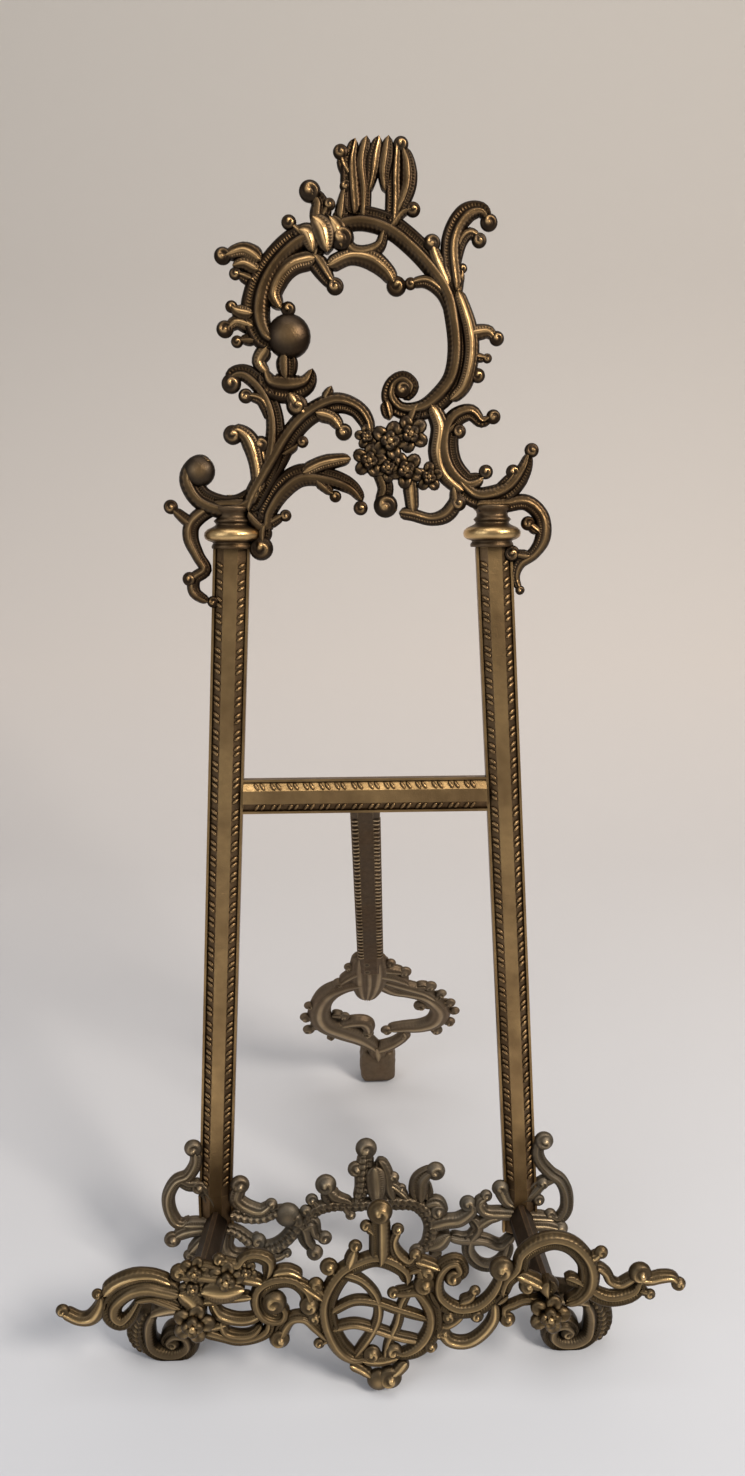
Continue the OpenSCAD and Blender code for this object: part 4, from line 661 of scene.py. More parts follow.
# %% Strokes of the crest, drawn 150 high from its seat on the capitals
CREST_STROKES = [
    # right side of the great ring, ending in its volute
    [[-12, 115, 7], [0, 117, 7], [12, 114, 7], [22, 107, 7], [31, 98, 7], [38, 88, 7], [41, 76, 7],
     [42, 64, 7], [40, 53, 7], [34, 45, 7], [26, 40, 6], [17, 40, 5], [12, 45, 5], [13, 51, 4],
     [18, 53.5, 4], [22, 50, 4], [20, 46, 3.5], [17, 47, 3]],
    # left side of the great ring, ending in its bulb
    [[-18, 112, 7], [-28, 108, 8], [-37, 100, 8], [-43, 90, 9], [-45, 79, 10], [-42, 70, 10],
     [-36, 67, 9]],
    # vase neck, dish and stem under the bulb
    [[-32, 64, 8], [-32, 52, 8]],
    [[-42, 57, 4], [-40, 51, 8], [-32, 49, 10], [-24, 51, 8], [-21, 57, 4]],
    [[-31, 47, 7], [-28, 42, 6], [-24, 38, 5]],
    [[-40, 66, 5], [-44, 60, 5], [-40, 55, 4]],
    # inner scrolls hanging from the top of the ring
    [[-19, 101, 6], [-28, 99, 6], [-34, 94, 6], [-37, 87, 6], [-34, 81, 5]],
    [[-20, 102, 6], [-16, 96, 6], [-13, 92, 5], [-10, 91, 4]],
    [[-14, 98, 5], [-5, 102, 5], [4, 101, 6], [11, 96, 6], [14, 91, 6]],
    [[-8, 110, 4], [-4, 104, 5], [2, 103, 5], [8, 106, 4], [10, 112, 4]],
    [[-17, 111, 6], [-19, 101, 6]],
    [[-26, 112, 5], [-22, 110, 9], [-20, 103, 7]],
    [[-20, 117, 6], [-16, 112, 10], [-14, 103, 8]],
    [[-13, 117, 6], [-10, 112, 9], [-8, 105, 6]],
    # plume
    [[-3, 118, 6], [-4, 130, 6], [-4, 139, 5], [-2, 147, 4]],
    [[1.5, 117, 4], [2, 128, 4], [1, 138, 5], [3, 148, 4]],
    [[3.5, 127, 2], [5, 134, 4], [6, 141, 5], [8, 148, 4]],
    [[10.5, 127, 2], [10, 134, 4], [11, 141, 5], [12, 148, 4]],
    [[13.5, 115, 5], [14, 124, 5], [14, 134, 5], [15, 145, 5]],
    [[16, 119, 4], [20, 129, 5], [20, 138, 5], [18, 144, 4]],
    [[-3, 131, 4], [-7, 137, 4], [-8, 141, 4]],
    [[-8, 116, 5], [-7, 124, 4], [-6, 129, 3]],
    [[12, 113, 4], [17, 119, 4], [21, 120, 4]],
    # curls left of the plume
    [[-12, 113, 6], [-17, 117, 6], [-17, 123, 6], [-21, 127, 6]],
    [[-24, 109, 5], [-29, 114, 4]],
    [[-16, 116, 4], [-13, 122, 4]],
    # leaves on the left of the ring
    [[-42, 100, 6], [-49, 104, 6], [-57, 102, 5]],
    [[-43, 96, 5], [-49, 99, 5], [-54, 98, 4]],
    [[-45, 92, 5], [-52, 95, 4]],
    [[-46, 79, 6], [-52, 80, 6], [-55, 82, 4]],
    [[-46, 74, 6], [-53, 76, 5], [-57, 73, 5]],
    [[-45, 69, 5], [-52, 69, 4]],
    # leaves on the right of the ring
    [[40, 88, 6], [38, 104, 6], [40, 113, 6], [45, 119, 6], [51, 120, 5], [54, 116, 4]],
    [[39, 96, 4], [42, 107, 4], [46, 111, 4], [50, 109, 4]],
    [[40, 86, 4], [43, 96, 3]],
    [[37, 90, 5], [32, 101, 5], [30, 107, 5]],
    [[40, 78, 5], [35, 87, 4], [28, 92, 4], [21, 91, 4]],
    [[41, 88, 4], [46, 74, 5], [47, 62, 5], [44, 50, 5], [38, 44, 5]],
    [[46, 71, 5], [54, 72, 5], [57, 69, 4]],
    [[46, 62, 4], [54, 61, 3]],
    [[44, 53, 4], [50, 54, 4]],
    # branches rising from the left capital
    [[-50, -2, 7], [-46, 6, 8], [-38, 19, 8], [-31, 30, 7], [-23, 38, 7], [-12, 43, 7],
     [-3, 41, 6], [2, 35, 6], [3, 28, 5]],
    [[-20, 39, 5], [-13, 37, 5], [-9, 32, 5]],
    [[-16, 44, 5], [-13, 50, 3]],
    [[-35, 22, 4], [-28, 26, 4]],
    [[-46, 4, 6], [-41, 15, 7], [-38, 26, 7], [-38, 38, 6], [-42, 48, 6], [-49, 55, 6],
     [-55, 55, 6], [-57, 51, 5]],
    [[-39, 36, 4], [-43, 44, 4], [-49, 46, 4]],
    [[-45, 6, 5], [-46, 18, 5], [-49, 28, 6], [-54, 32, 5], [-56, 30, 4]],
    [[-42, 14, 4], [-44, 25, 4]],
    [[-46, 6, 6], [-54, 1, 7], [-62, 0, 8], [-71, 4, 8], [-75, 12, 8], [-72, 18, 7], [-66, 19, 6]],
    # lower leaves, from the left capital to the flowers
    [[-50, -2, 5], [-44, -8, 6], [-42, -2, 6], [-36, 7, 7], [-27, 13, 7], [-15, 12, 6], [-5, 8, 5],
     [0, 2, 4]],
    [[-26, 14, 5], [-17, 18, 5], [-5, 20, 5]],
    [[-20, 11, 4], [-13, 5, 4]],
    [[-42, -8, 4], [-35, -4, 4]],
    [[-43, -8, 6], [-44, -16, 6]],
    # stems round the flowers, and the band under them
    [[30, 42, 5], [34, 33, 6], [33, 22, 6], [36, 13, 5], [44, 6, 6]],
    [[24, 42, 5], [21, 34, 7]],
    [[10, 44, 4], [12, 36, 6]],
    [[6, 18, 5], [10, 8, 5], [9, 1, 5], [15, -2, 5]],
    [[16, -3, 4], [22, -4, 4], [30, -6, 4], [37, -4, 5], [41, 2, 5], [40, 8, 5]],
    [[22, -3, 4], [21, 8, 5], [20, 16, 6]],
    # right hand scrolls
    [[53, 12, 4], [46, 10, 6], [39, 17, 7], [37, 27, 7], [40, 36, 6], [47, 39, 5], [52, 35, 4],
     [56, 37, 4]],
    [[34, 30, 5], [40, 34, 5]],
    [[40, 12, 6], [48, 4, 7], [56, 3, 8], [65, 7, 7], [71, 15, 6], [73, 22, 4]],
    [[60, 6, 4], [66, 13, 4]],
    # brackets beside the capitals
    [[50, 0, 6], [62, 0, 5], [72, 1, 5], [79, -5, 5], [80, -14, 5], [76, -21, 4], [70, -25, 4],
     [68, -31, 3], [70, -37, 3]],
    [[78, -12, 4], [73, -8, 4]],
    [[74, -22, 4], [67, -21, 4]],
    [[-50, 0, 6], [-64, 0, 5], [-74, -6, 5], [-76, -13, 5], [-73, -21, 4], [-70, -27, 4],
     [-75, -31, 4], [-75, -37, 4], [-69, -41, 4]],
    [[-76, -7, 4], [-83, -1, 4]]
]
CREST_KNOBS = [
    [-31, 70, 10.4], [-71, 15, 7.6], [17.5, 48.5, 3.6], [-28, 42, 4.5], [-31, 81, 3],
    [-11, 90, 3.5], [15, 90, 4], [-8, 109, 5],
    [-8, 142, 3], [17, 145, 3], [-6, 129, 2.5], [22, 120, 3], [-21, 127, 4.3], [-13, 122, 2.5],
    [-30, 115, 3], [-58, 102, 3.5], [-53, 95, 2.5], [-55, 82, 2.5], [-58, 73, 3.5],
    [-53, 68, 2.5], [54, 115, 3.5], [50, 108, 3], [43, 97, 2], [30, 107, 3.5], [21, 91, 2.5],
    [58, 69, 3], [54, 61, 2], [50, 54, 3], [-8, 31, 3.5], [-26, 27, 2.5], [-56, 51, 4],
    [-50, 46, 3], [-56, 30, 4], [-44, 26, 3.5], [42, 31, 3], [54, 14, 3],
    [57, 37, 3], [74, 23, 3], [66, 14, 3], [73, -8, 3], [66, -21, 3.5], [70, -37, 2], [-84, 0, 3],
    [-77, -31, 3], [-67, -41, 2.5], [-1, -1, 3], [-12, 4, 2.5], [-34, -4, 2.5], [-45, -18, 5],
    [10, 0, 5], [42, 1, 3.5]]
CREST_ROSES = [
    [12, 27, 8], [21, 30, 7.5], [3, 19, 7], [19, 15, 7.5], [29, 12, 6], [11, 16, 6], [2, 29, 5]]
print("crest:", len(CREST_STROKES), "strokes,", len(CREST_KNOBS), "knobs")

# %% Strokes of the lower rail, drawn from the stiles' seats
LOWER_STROKES = [
    # left outer wing
    [[-84, 25, 5], [-84, 19, 5], [-88, 12, 5], [-94, 9, 5], [-98, 2, 5], [-98, -6, 5],
     [-95, -13, 5], [-91, -14, 5], [-89, -11, 4]],
    [[-93, 10, 4], [-88, 7, 5], [-82, 6, 5], [-76, -4, 6]],
    [[-91, -14, 5], [-84, -14, 6], [-76, -14, 8]],
    [[-96, -21, 5], [-90, -18, 6], [-80, -16, 8]],
    [[-89, -30, 4], [-84, -24, 5], [-78, -18, 6]],
    # left inner scrolls
    [[-63, 6, 6], [-65, -1, 6], [-60, -6, 6], [-53, -8, 6], [-48, -4, 5]],
    [[-68, -8, 8], [-60, -11, 6], [-52, -11, 6], [-44, -8, 6], [-40, -9, 8]],
    [[-40, -8, 8], [-36, -14, 8], [-39, -21, 7], [-46, -27, 7], [-54, -28, 7], [-60, -23, 6],
     [-66, -18, 6], [-72, -16, 7]],
    [[-58, -22, 5], [-54, -23, 6]],
    [[-54, -28, 5], [-47, -33, 5], [-41, -31, 4]],
    [[-70, -18, 7], [-71, -27, 6], [-66, -32, 5], [-56, -30, 5]],
    # centre left
    [[-38, -14, 7], [-33, -18, 7], [-31, -25, 6], [-27, -30, 6]],
    [[-33, -17, 7], [-28, -15, 6], [-26, -21, 5], [-22, -23, 5]],
    [[-31, -16, 6], [-27, -9, 6], [-20, -6, 6], [-12, -6, 5], [-6, -6, 6], [4, -5, 7]],
    [[-12, -6, 4], [-9, -11, 4]],
    [[-27, -10, 4], [-31, -7, 5]],
    [[-25, -8, 4], [-28, -2, 5]],
    [[-21, 4, 7], [-18, -1, 8], [-13, -3, 6], [-8, -4, 6]],
    # finial and its leaf
    [[-1, 23, 7], [-2, 14, 8], [-3, 4, 8], [-6, -4, 7]],
    [[5, 19, 5], [8, 12, 6], [9, 3, 8], [12, -3, 8]],
    [[3, 16, 9], [4, 6, 11], [4, -4, 9]],
    [[-4, 16, 4], [-6, 14, 5]],
    [[10, 6, 5], [15, 2, 4], [19, -2, 5]],
    # arch and ring, centre right
    [[4, -5, 7], [14, -5, 7], [23, -6, 7], [29, -12, 7], [31, -20, 7], [29, -28, 7], [24, -32, 6]],
    [[25, -4, 7], [25, 6, 8], [29, 11, 6], [33, 12, 5]],
    [[29, -3, 6], [29, 6, 4]],
    [[28, -6, 5], [34, -5, 5], [37, -10, 4], [33, -12, 4]],
    [[30, -18, 6], [38, -16, 6], [45, -15, 6], [51, -10, 6], [50, -6, 5]],
    [[29, -30, 6], [35, -27, 9], [40, -22, 7]],
    [[30, -36, 5], [36, -32, 7]],
    [[40, -24, 5], [46, -26, 5], [52, -26, 6], [58, -27, 5], [66, -30, 5], [72, -24, 6]],
    [[51, -14, 5], [54, -20, 5], [50, -27, 5], [50, -34, 5], [55, -40, 5], [62, -41, 5],
     [68, -36, 5], [70, -28, 6]],
    [[58, -3, 4], [55, -6, 5], [58, -11, 5], [66, -12, 6], [74, -12, 8]],
    [[54, -19, 5], [60, -15, 5], [66, -14, 5]],
    # right outer wing
    [[89, 26, 4], [85, 27, 5], [83, 21, 5], [85, 15, 5], [90, 9, 5], [95, 5, 5], [98, -2, 5],
     [98, -11, 5], [94, -16, 5], [89, -13, 5]],
    [[93, 7, 4], [86, 4, 5], [80, -2, 6], [74, -6, 6]],
    [[92, -16, 4], [84, -15, 6], [76, -14, 8]],
    [[95, -21, 5], [88, -19, 6], [78, -18, 8]],
    [[65, 2, 6], [68, -5, 6], [72, -8, 6]]
]
LOWER_KNOBS = [
    [-85, 27, 4.2], [-97, -22, 4], [-89, -31, 3], [-63, 7, 4.5], [-48, -4, 3], [-40, -10, 7],
    [-55, -24, 4], [-41, -31, 2.5], [-27, -31, 4], [-22, -23, 3.5], [-9, -11, 2.5], [-31, -8, 3],
    [-28, -2, 3], [-21, 6, 5], [-1, 25, 5], [-6, 14, 4], [12, 9, 3], [16, 3, 2.5], [24, -32, 4],
    [33, 12, 4.5], [34, -10, 4], [49, -6, 4], [58, -2, 3], [86, 27, 4.5], [65, 2, 4], [84, -5, 3],
    [95, -21, 4], [90, -13, 3], [-83, 6, 3.5], [86, 4, 3]]
print("lower rail:", len(LOWER_STROKES), "strokes,", len(LOWER_KNOBS), "knobs")

# %% Strokes of the front rail, drawn from its own centre line
RAIL_STROKES = [
    # left wing
    [[-139, 34, 5], [-132, 30, 5], [-126, 31, 6], [-122, 37, 6], [-121, 42, 5]],
    [[-86, 43, 9], [-93, 45, 9], [-100, 47, 10], [-107, 46, 10], [-113, 42, 9], [-117, 37, 9],
     [-117, 31, 8], [-113, 28, 7], [-109, 31, 6], [-106, 36, 5], [-104, 40, 5]],
    [[-106, 40, 5], [-99, 41, 5], [-93, 39, 6], [-86, 36, 8]],
    [[-120, 43, 6], [-114, 48, 6], [-106, 51, 6], [-98, 51, 5], [-90, 48, 6]],
    # flowers over the left arm
    [[-86, 52, 7], [-78, 53, 9], [-70, 52, 10], [-62, 52, 9]],
    [[-76, 45, 12], [-66, 44, 14], [-57, 45, 10]],
    [[-86, 44, 9], [-80, 38, 10], [-79, 28, 10]],
    [[-69, 58, 5], [-60, 55, 6], [-56, 59, 5], [-51, 60, 5], [-46, 57, 6], [-47, 50, 6]],
    [[-60, 50, 6], [-52, 48, 6], [-48, 46, 5]],
    # slotted bands between the left arm and the C-scroll
    [[-76, 38, 5], [-66, 39, 4], [-54, 40, 5]],
    [[-72, 37, 4], [-69, 31, 5], [-62, 28, 5], [-55, 28, 5], [-49, 31, 5]],
    [[-76, 22, 5], [-68, 19, 4], [-61, 17, 4], [-53, 18, 4], [-47, 22, 5], [-46, 28, 5]],
    [[-68, 28, 4], [-66, 22, 4], [-60, 20, 4], [-54, 21, 4], [-50, 26, 4]],
    [[-79, 26, 6], [-72, 25, 5], [-66, 26, 4]],
    # left C-scroll
    [[-28, 35, 6], [-30, 42, 6], [-36, 47, 6], [-44, 47, 7], [-50, 43, 7], [-51, 36, 7],
     [-48, 30, 7], [-42, 28, 6], [-40, 32, 6], [-44, 37, 6]],
    [[-44, 51, 5], [-37, 52, 5], [-31, 49, 5]],
    [[-42, 18, 6], [-40, 24, 6], [-36, 28, 5], [-30, 28, 5], [-25, 23, 5], [-20, 17, 5]],
    [[-34, 47, 4], [-26, 41, 5], [-22, 38, 5]],
    # left side of the cartouche
    [[16, 45, 6], [15, 50, 6], [9, 55, 7], [2, 57, 7], [-5, 55, 7], [-12, 51, 8], [-17, 44, 8],
     [-20, 36, 8], [-20, 28, 8], [-18, 20, 8], [-14, 12, 8], [-8, 7, 7], [-1, 8, 6]],
    [[-20, 40, 5], [-25, 45, 5]],
    [[-16, 48, 5], [-19, 54, 5]],
    [[-21, 33, 4], [-25, 29, 5]],
    [[-10, 54, 6], [-8, 60, 6], [-7, 63, 4]],
    [[-18, 18, 4], [-23, 15, 4]],
    # right side of the cartouche
    [[10, 40, 4], [15, 40, 5], [21, 41, 7], [25, 37, 8], [28, 30, 8], [28, 22, 8], [25, 15, 8],
     [20, 10, 7], [14, 8, 6], [10, 10, 6]],
    [[22, 40, 5], [24, 46, 7], [22, 52, 6], [16, 50, 5]],
    [[-4, 6, 5], [4, 5, 5], [12, 7, 5]],
    # interlaced ribbon inside the cartouche
    [[-18, 31, 4], [-8, 36, 4], [2, 35, 4], [12, 31, 4], [26, 26, 4]],
    [[-18, 22, 4], [-8, 24, 4], [2, 21, 4], [12, 17, 4], [24, 14, 4]],
    [[-12, 50, 5], [-4, 46, 4], [2, 38, 4], [3, 28, 4], [-1, 18, 4], [-8, 8, 4]],
    [[18, 42, 4], [14, 34, 4], [12, 24, 4], [8, 14, 4], [6, 6, 4]],
    # pendant
    [[-10, 4, 5], [-5, 1, 5], [0, -3, 5]],
    [[16, 5, 5], [12, 0, 6], [8, -3, 6]],
    # finial
    [[4, 79, 8], [4, 70, 8], [4, 62, 10], [4, 56, 12]],
    [[1, 70, 4], [-2, 73, 4]],
    [[12, 71, 4], [10, 65, 4], [12, 59, 5], [17, 55, 5], [20, 58, 4]],
    [[20, 56, 5], [26, 54, 6], [31, 52, 6]],
    # right spiral and its lower ring
    [[37, 47, 5], [41, 50, 6], [39, 55, 6], [34, 54, 6], [30, 49, 7], [29, 42, 7], [31, 36, 7],
     [37, 31, 7], [43, 30, 7], [50, 32, 7], [56, 38, 7], [59, 45, 7], [59, 51, 7]],
    [[40, 34, 4], [45, 36, 4], [47, 40, 3]],
    [[33, 19, 5], [35, 15, 5], [40, 13, 5], [46, 14, 5], [52, 19, 5], [56, 26, 5], [56, 34, 5]],
    [[30, 22, 4], [34, 22, 4], [39, 25, 4], [42, 29, 4]],
    [[62, 25, 4], [61, 30, 4], [65, 32, 4], [70, 34, 4], [78, 34, 5]],
    [[57, 34, 5], [62, 38, 5]],
    # great arch over the right arm
    [[60, 37, 5], [62, 44, 6], [67, 50, 7], [69, 57, 7], [75, 62, 8], [83, 64, 8], [91, 61, 8],
     [97, 54, 8], [99, 47, 9], [98, 40, 9], [94, 35, 8], [88, 33, 8]],
    [[66, 48, 5], [72, 45, 7], [78, 42, 10]],
    [[96, 55, 5], [101, 55, 5], [104, 58, 4]],
    [[80, 46, 14], [80, 38, 14]],
    [[88, 46, 6], [96, 42, 6]],
    # right wing
    [[99, 48, 5], [103, 50, 4], [107, 47, 4], [109, 43, 4], [113, 41, 4], [117, 43, 5],
     [121, 46, 5]],
    [[98, 40, 6], [103, 36, 7], [109, 34, 7], [116, 35, 7], [121, 38, 7], [123, 44, 7]],
    [[122, 44, 6], [127, 43, 5], [132, 44, 5], [137, 44, 5], [140, 41, 5]],
    [[122, 38, 4], [127, 36, 4]]
]
RAIL_KNOBS = [
    [-139, 35, 3], [-123, 43, 2.5], [-86, 53, 4], [-68, 59, 3], [-28, 35, 4.5], [-44, 37, 5.5],
    [-42, 18, 4.5], [-26, 28, 3], [-24, 15, 2.5], [-19, 54, 4], [-25, 45, 3.5], [-7, 64, 3],
    [0, 9, 4], [10, 10, 4], [24, 44, 5], [25, 50, 4], [10, 40, 2.8], [27, 12, 3], [31, 18, 2.5],
    [3, -4.5, 6], [8, -3.5, 5.5], [4, 81, 5.5], [-2, 74, 2.8], [12, 72, 2.8], [20, 59, 2.8],
    [37, 47, 4], [59, 51, 5.5], [47, 40, 2.5], [33, 19, 3], [35, 27, 3], [48, 27, 3],
    [62, 25, 3.5], [104, 58, 3], [122, 47, 5], [140, 41, 3.2], [127, 36, 2.5], [71, 42, 4]]
RAIL_ROSES = [
    [-79, 54, 6.5], [-80, 46, 6], [-65, 50, 8], [-56, 53, 5]]
print("front rail:", len(RAIL_STROKES), "strokes,", len(RAIL_KNOBS), "knobs")

# %% Strokes of the feet and of the leg's ornament
FOOT_STROKES = [
    [[8, 34, 7], [11, 27, 7], [12, 18, 7], [11, 9, 7], [5, 4, 8], [-3, 4, 8], [-8, 9, 7],
     [-7, 16, 6], [-1, 18, 6], [3, 13, 5], [0, 9, 5]],
    [[-13, 39, 8], [0, 37, 8], [8, 34, 7]]
]
FOOT_RIM = [[[10, 33, 6], [15, 27, 7], [17, 18, 7.5], [16, 9, 7], [12, 4, 6]]]
ORN_STROKES = [
    # boss and lobes under the bar
    [[-6, -2, 6], [-7, 12, 8], [-7, 26, 8], [-6, 40, 7], [-4, 46, 5]],
    [[-1, -2, 6], [-1, 12, 7], [-1, 28, 7], [-3, 46, 5]],
    [[4, -2, 6], [5, 12, 8], [4, 26, 8], [1, 40, 6], [-2, 46, 4]],
    [[-4, 4, 6], [-12, 10, 5]],
    [[-6, 14, 7], [-13, 20, 6], [-19, 26, 6]],
    [[3, 4, 6], [11, 8, 5]],
    [[4, 12, 7], [12, 15, 6], [20, 17, 5]],
    [[4, 18, 7], [14, 22, 7], [23, 28, 7]],
    # left side of the ring
    [[-6, 28, 8], [-16, 31, 8], [-26, 38, 9], [-32, 50, 9], [-34, 64, 10], [-30, 76, 11],
     [-20, 84, 12], [-10, 92, 11], [-2, 102, 9], [2, 108, 9]],
    [[-32, 52, 6], [-39, 51, 4]],
    [[-34, 64, 6], [-42, 65, 5]],
    [[-32, 76, 7], [-41, 80, 5]],
    [[-24, 84, 6], [-27, 91, 4]],
    [[-26, 64, 5], [-19, 66, 4]],
    [[-22, 78, 6], [-14, 74, 7], [-6, 74, 7], [-3, 80, 7], [-3, 88, 5]],
    # right side of the ring
    [[4, 28, 7], [13, 38, 6], [24, 42, 6], [33, 46, 7], [40, 54, 8], [44, 64, 9], [41, 76, 9],
     [32, 82, 8], [20, 83, 7], [10, 84, 6]],
    [[8, 26, 6], [20, 33, 6], [32, 40, 6], [40, 48, 6]],
    [[28, 34, 5], [36, 34, 5]],
    [[40, 50, 6], [43, 44, 5]],
    [[43, 58, 6], [49, 54, 5]],
    [[45, 66, 6], [52, 64, 5]],
    [[43, 74, 6], [49, 76, 5]],
    [[36, 82, 6], [41, 86, 5]],
    [[40, 58, 6], [32, 56, 6]],
    # stem to the pad
    [[2, 108, 9], [8, 106, 8], [16, 100, 6], [21, 92, 6], [20, 86, 6]],
    [[2, 104, 9], [3, 112, 12], [3, 118, 14]],
    [[2, 106, 6], [-4, 100, 5]]
]
ORN_KNOBS = [
    [-13, 10, 3], [-20, 27, 3.5], [12, 7, 3], [21, 17, 3.5], [-40, 52, 3], [-43, 66, 3.5],
    [-42, 81, 3.5], [-28, 92, 2.5], [-18, 66, 3], [-4, 88, 4], [9, 85, 3.5], [37, 34, 3.5],
    [44, 43, 3], [50, 54, 3], [53, 64, 3], [50, 77, 3.5], [42, 87, 3.5], [31, 56, 4],
    [21, 92, 3.5]]
print("leg's ornament:", len(ORN_STROKES), "strokes,", len(ORN_KNOBS), "knobs")

# %% [markdown]
# ## Chased bars
# The stiles, the crossbar and the leg keep their fitted shapes. Their bevels were worked
# with a chasing tool: pairs of short slanted strokes, every 7.4 mm on the frame and closer
# on the leg. A Geometry Nodes tree lays one pair, repeats it along a line and tips it to lie
# on the bevel. Real strokes catch the light from every side, as a bump would not.

# %% A tree that chases a bevel
STROKE_GAP, UNEVEN, STROKE_SLANT = 2.7, 0.4, 0.55


def chasing_tree():
    tree, given = new_tree("chasing", [
        ("Groups", "Int", 40), ("Pitch", "Float", 7.4), ("Slant", "Float", 0.5),
        ("Length", "Float", 4.0), ("Seed", "Int", 0), ("Finish", "Material", None)])
    do = sums(tree)
    cut = node(tree, "GeometryNodeMeshUVSphere", 8, 4, 1.0)
    split = node(tree, "ShaderNodeSeparateXYZ", node(tree, "GeometryNodeInputPosition"), out=1)
    ridge = do("SUBTRACT", 0.93, do("MULTIPLY", do("MULTIPLY", split, split), 1.2), clamp=True)
    cut = kept(tree, cut, "crown", ridge)
    size = node(tree, "ShaderNodeCombineXYZ", do("MULTIPLY", given["Length"], 0.5), 0.95, 0.75)
    cut = node(tree, "GeometryNodeTransform", cut, None, None, size)
    row = node(tree, "GeometryNodeMeshLine", 2, None, None, (0, STROKE_GAP, 0))
    slant = node(tree, "ShaderNodeCombineXYZ", None, None, given["Slant"])
    group = node(tree, "GeometryNodeInstanceOnPoints", row, None, cut, None, None, slant)
    step = node(tree, "ShaderNodeCombineXYZ", None, given["Pitch"])
    line = node(tree, "GeometryNodeMeshLine", given["Groups"], None, None, step)
    uneven = tree.nodes.new("FunctionNodeRandomValue")
    for index, value in ((2, -UNEVEN), (3, UNEVEN), (8, given["Seed"])):
        fill(tree, uneven.inputs[index], value)
    uneven = uneven.outputs[1]
    line = node(tree, "GeometryNodeSetPosition", line, None, None,
                node(tree, "ShaderNodeCombineXYZ", None, uneven))
    rows = node(tree, "GeometryNodeInstanceOnPoints", line, None, group)
    end_tree(tree, rows, given["Finish"])
    return tree


CHASING = chasing_tree()


def chased(name, matrix, length, bevel_x, bevel_z, slope, finish, stroke=4.4, pitch=7.4):
    """Both bevels of one bar that lies along +Y, as two meshes."""
    meshes = []
    groups = int((length - 4) / pitch)
    start = (length - (groups - 1) * pitch - STROKE_GAP) / 2
    for side in (LEFT, RIGHT):
        place = matrix @ Matrix.Translation((side * bevel_x, start, bevel_z)) \
            @ Matrix.Rotation(side * slope, 4, "Y")
        empty = bpy.data.meshes.new(name)
        meshes.append(grow(name, empty, CHASING, place, groups=groups, pitch=pitch,
                           slant=side * STROKE_SLANT, length=stroke, finish=finish))
    return meshes


# %% Chase the stiles, the crossbar and the leg
BEVEL_X, BEVEL_Z = 4.9, 1.62
LEG_BEVEL_X, LEG_BEVEL_Z, LEG_BEVEL_SLOPE, LEG_CHASED = 5.1, 1.65, math.atan2(2.4, 3.6), 122
crossbar_y = SEAT_UP + CROSSBAR_UP
half_crossbar = gauge(crossbar_y) - HALF_BAR
along_crossbar = on_frame @ Matrix.Translation((half_crossbar, crossbar_y, 0)) \
    @ Matrix.Rotation(math.pi / 2, 4, "Z")
chasing = []
for side in (LEFT, RIGHT):
    chasing += chased("stile_chasing", on_stile(side), STILE_LEN, BEVEL_X, BEVEL_Z, BEVEL_SLOPE,
                      bar_brass)
chasing += chased("crossbar_chasing", along_crossbar, 2 * half_crossbar, BEVEL_X, BEVEL_Z,
                  BEVEL_SLOPE, bar_brass)
joined("bar_chasing", chasing, "stand")
under_pin = on_leg @ Matrix.Translation((0, 8, 0))
joined("leg_chasing", chased("leg_chasing", under_pin, LEG_CHASED, LEG_BEVEL_X, LEG_BEVEL_Z,
                             LEG_BEVEL_SLOPE, leg_bar_brass, stroke=4.8, pitch=5.9),
       "leg")

# %% [markdown]
# ## Capitals
# Each capital is a turned vase with a fat cushion ring, left flat behind. Spinning a
# profile is how a turner would make it, so the mesh is a profile spun round the axis.

# %% Turn a capital
CAPITAL_PROFILE = [
    (9.3, 0.0), (9.6, 0.8), (9.3, 1.7), (8.8, 2.2), (9.2, 2.8), (10.8, 3.3), (12.2, 4.2),
    (12.7, 5.7), (12.4, 7.1), (11.2, 8.3), (9.2, 9.2), (7.8, 9.9), (7.3, 10.6), (7.8, 11.2),
    (8.3, 11.9), (7.7, 12.6), (7.0, 13.2), (6.8, 14.2), (7.2, 15.4), (8.2, 16.3), (8.6, 17.1),
    (8.5, 18.0)]
CAPITAL_BACK, CAPITAL_IN, TURNS = 4.0, 3.0, 64


def turned_capital(side):
    """A lathe-turned capital standing on its stile, cut flat at the back."""
    spots, faces, crown = [], [], []
    count = len(CAPITAL_PROFILE)
    for turn in range(TURNS):
        angle = math.tau * turn / TURNS
        for radius, up in CAPITAL_PROFILE:
            spots.append((radius * math.sin(angle), up,
                          max(radius * math.cos(angle) - CAPITAL_IN, -CAPITAL_BACK)))
            # crown by radius: the cushion takes the rubbed gold and its painted highlight
            crown.append(min(1.0, max(0.0, (radius - 7.6) / 4.0)))
    for turn in range(TURNS):
        here, after = turn * count, (turn + 1) % TURNS * count
        for k in range(count - 1):
            faces.append((here + k, after + k, after + k + 1, here + k + 1))
    faces.append([turn * count for turn in reversed(range(TURNS))])
    faces.append([turn * count + count - 1 for turn in range(TURNS)])
    mesh = bpy.data.meshes.new("capital")
    mesh.from_pydata(spots, [], faces)
    layer = mesh.attributes.new("crown", "FLOAT", "POINT")
    layer.data.foreach_set("value", crown)
    mesh.materials.append(capital_brass)
    mesh.shade_smooth()
    top = gauge(SEAT_UP + STILE_LEN + CAPITAL_H / 2)
    mesh.transform(on_frame @ Matrix.Translation((side * top, SEAT_UP + STILE_LEN, 0)))
    return mesh


for side, word in ((LEFT, "left"), (RIGHT, "right")):
    joined(word + "_turned_capital", [turned_capital(side)], "stand",
           [word + "_capital"])

# %% [markdown]
# ## The castings
# The crest, the lower rail, the front rail, the feet and the leg's ornament all go through
# the same trees with their own strokes.

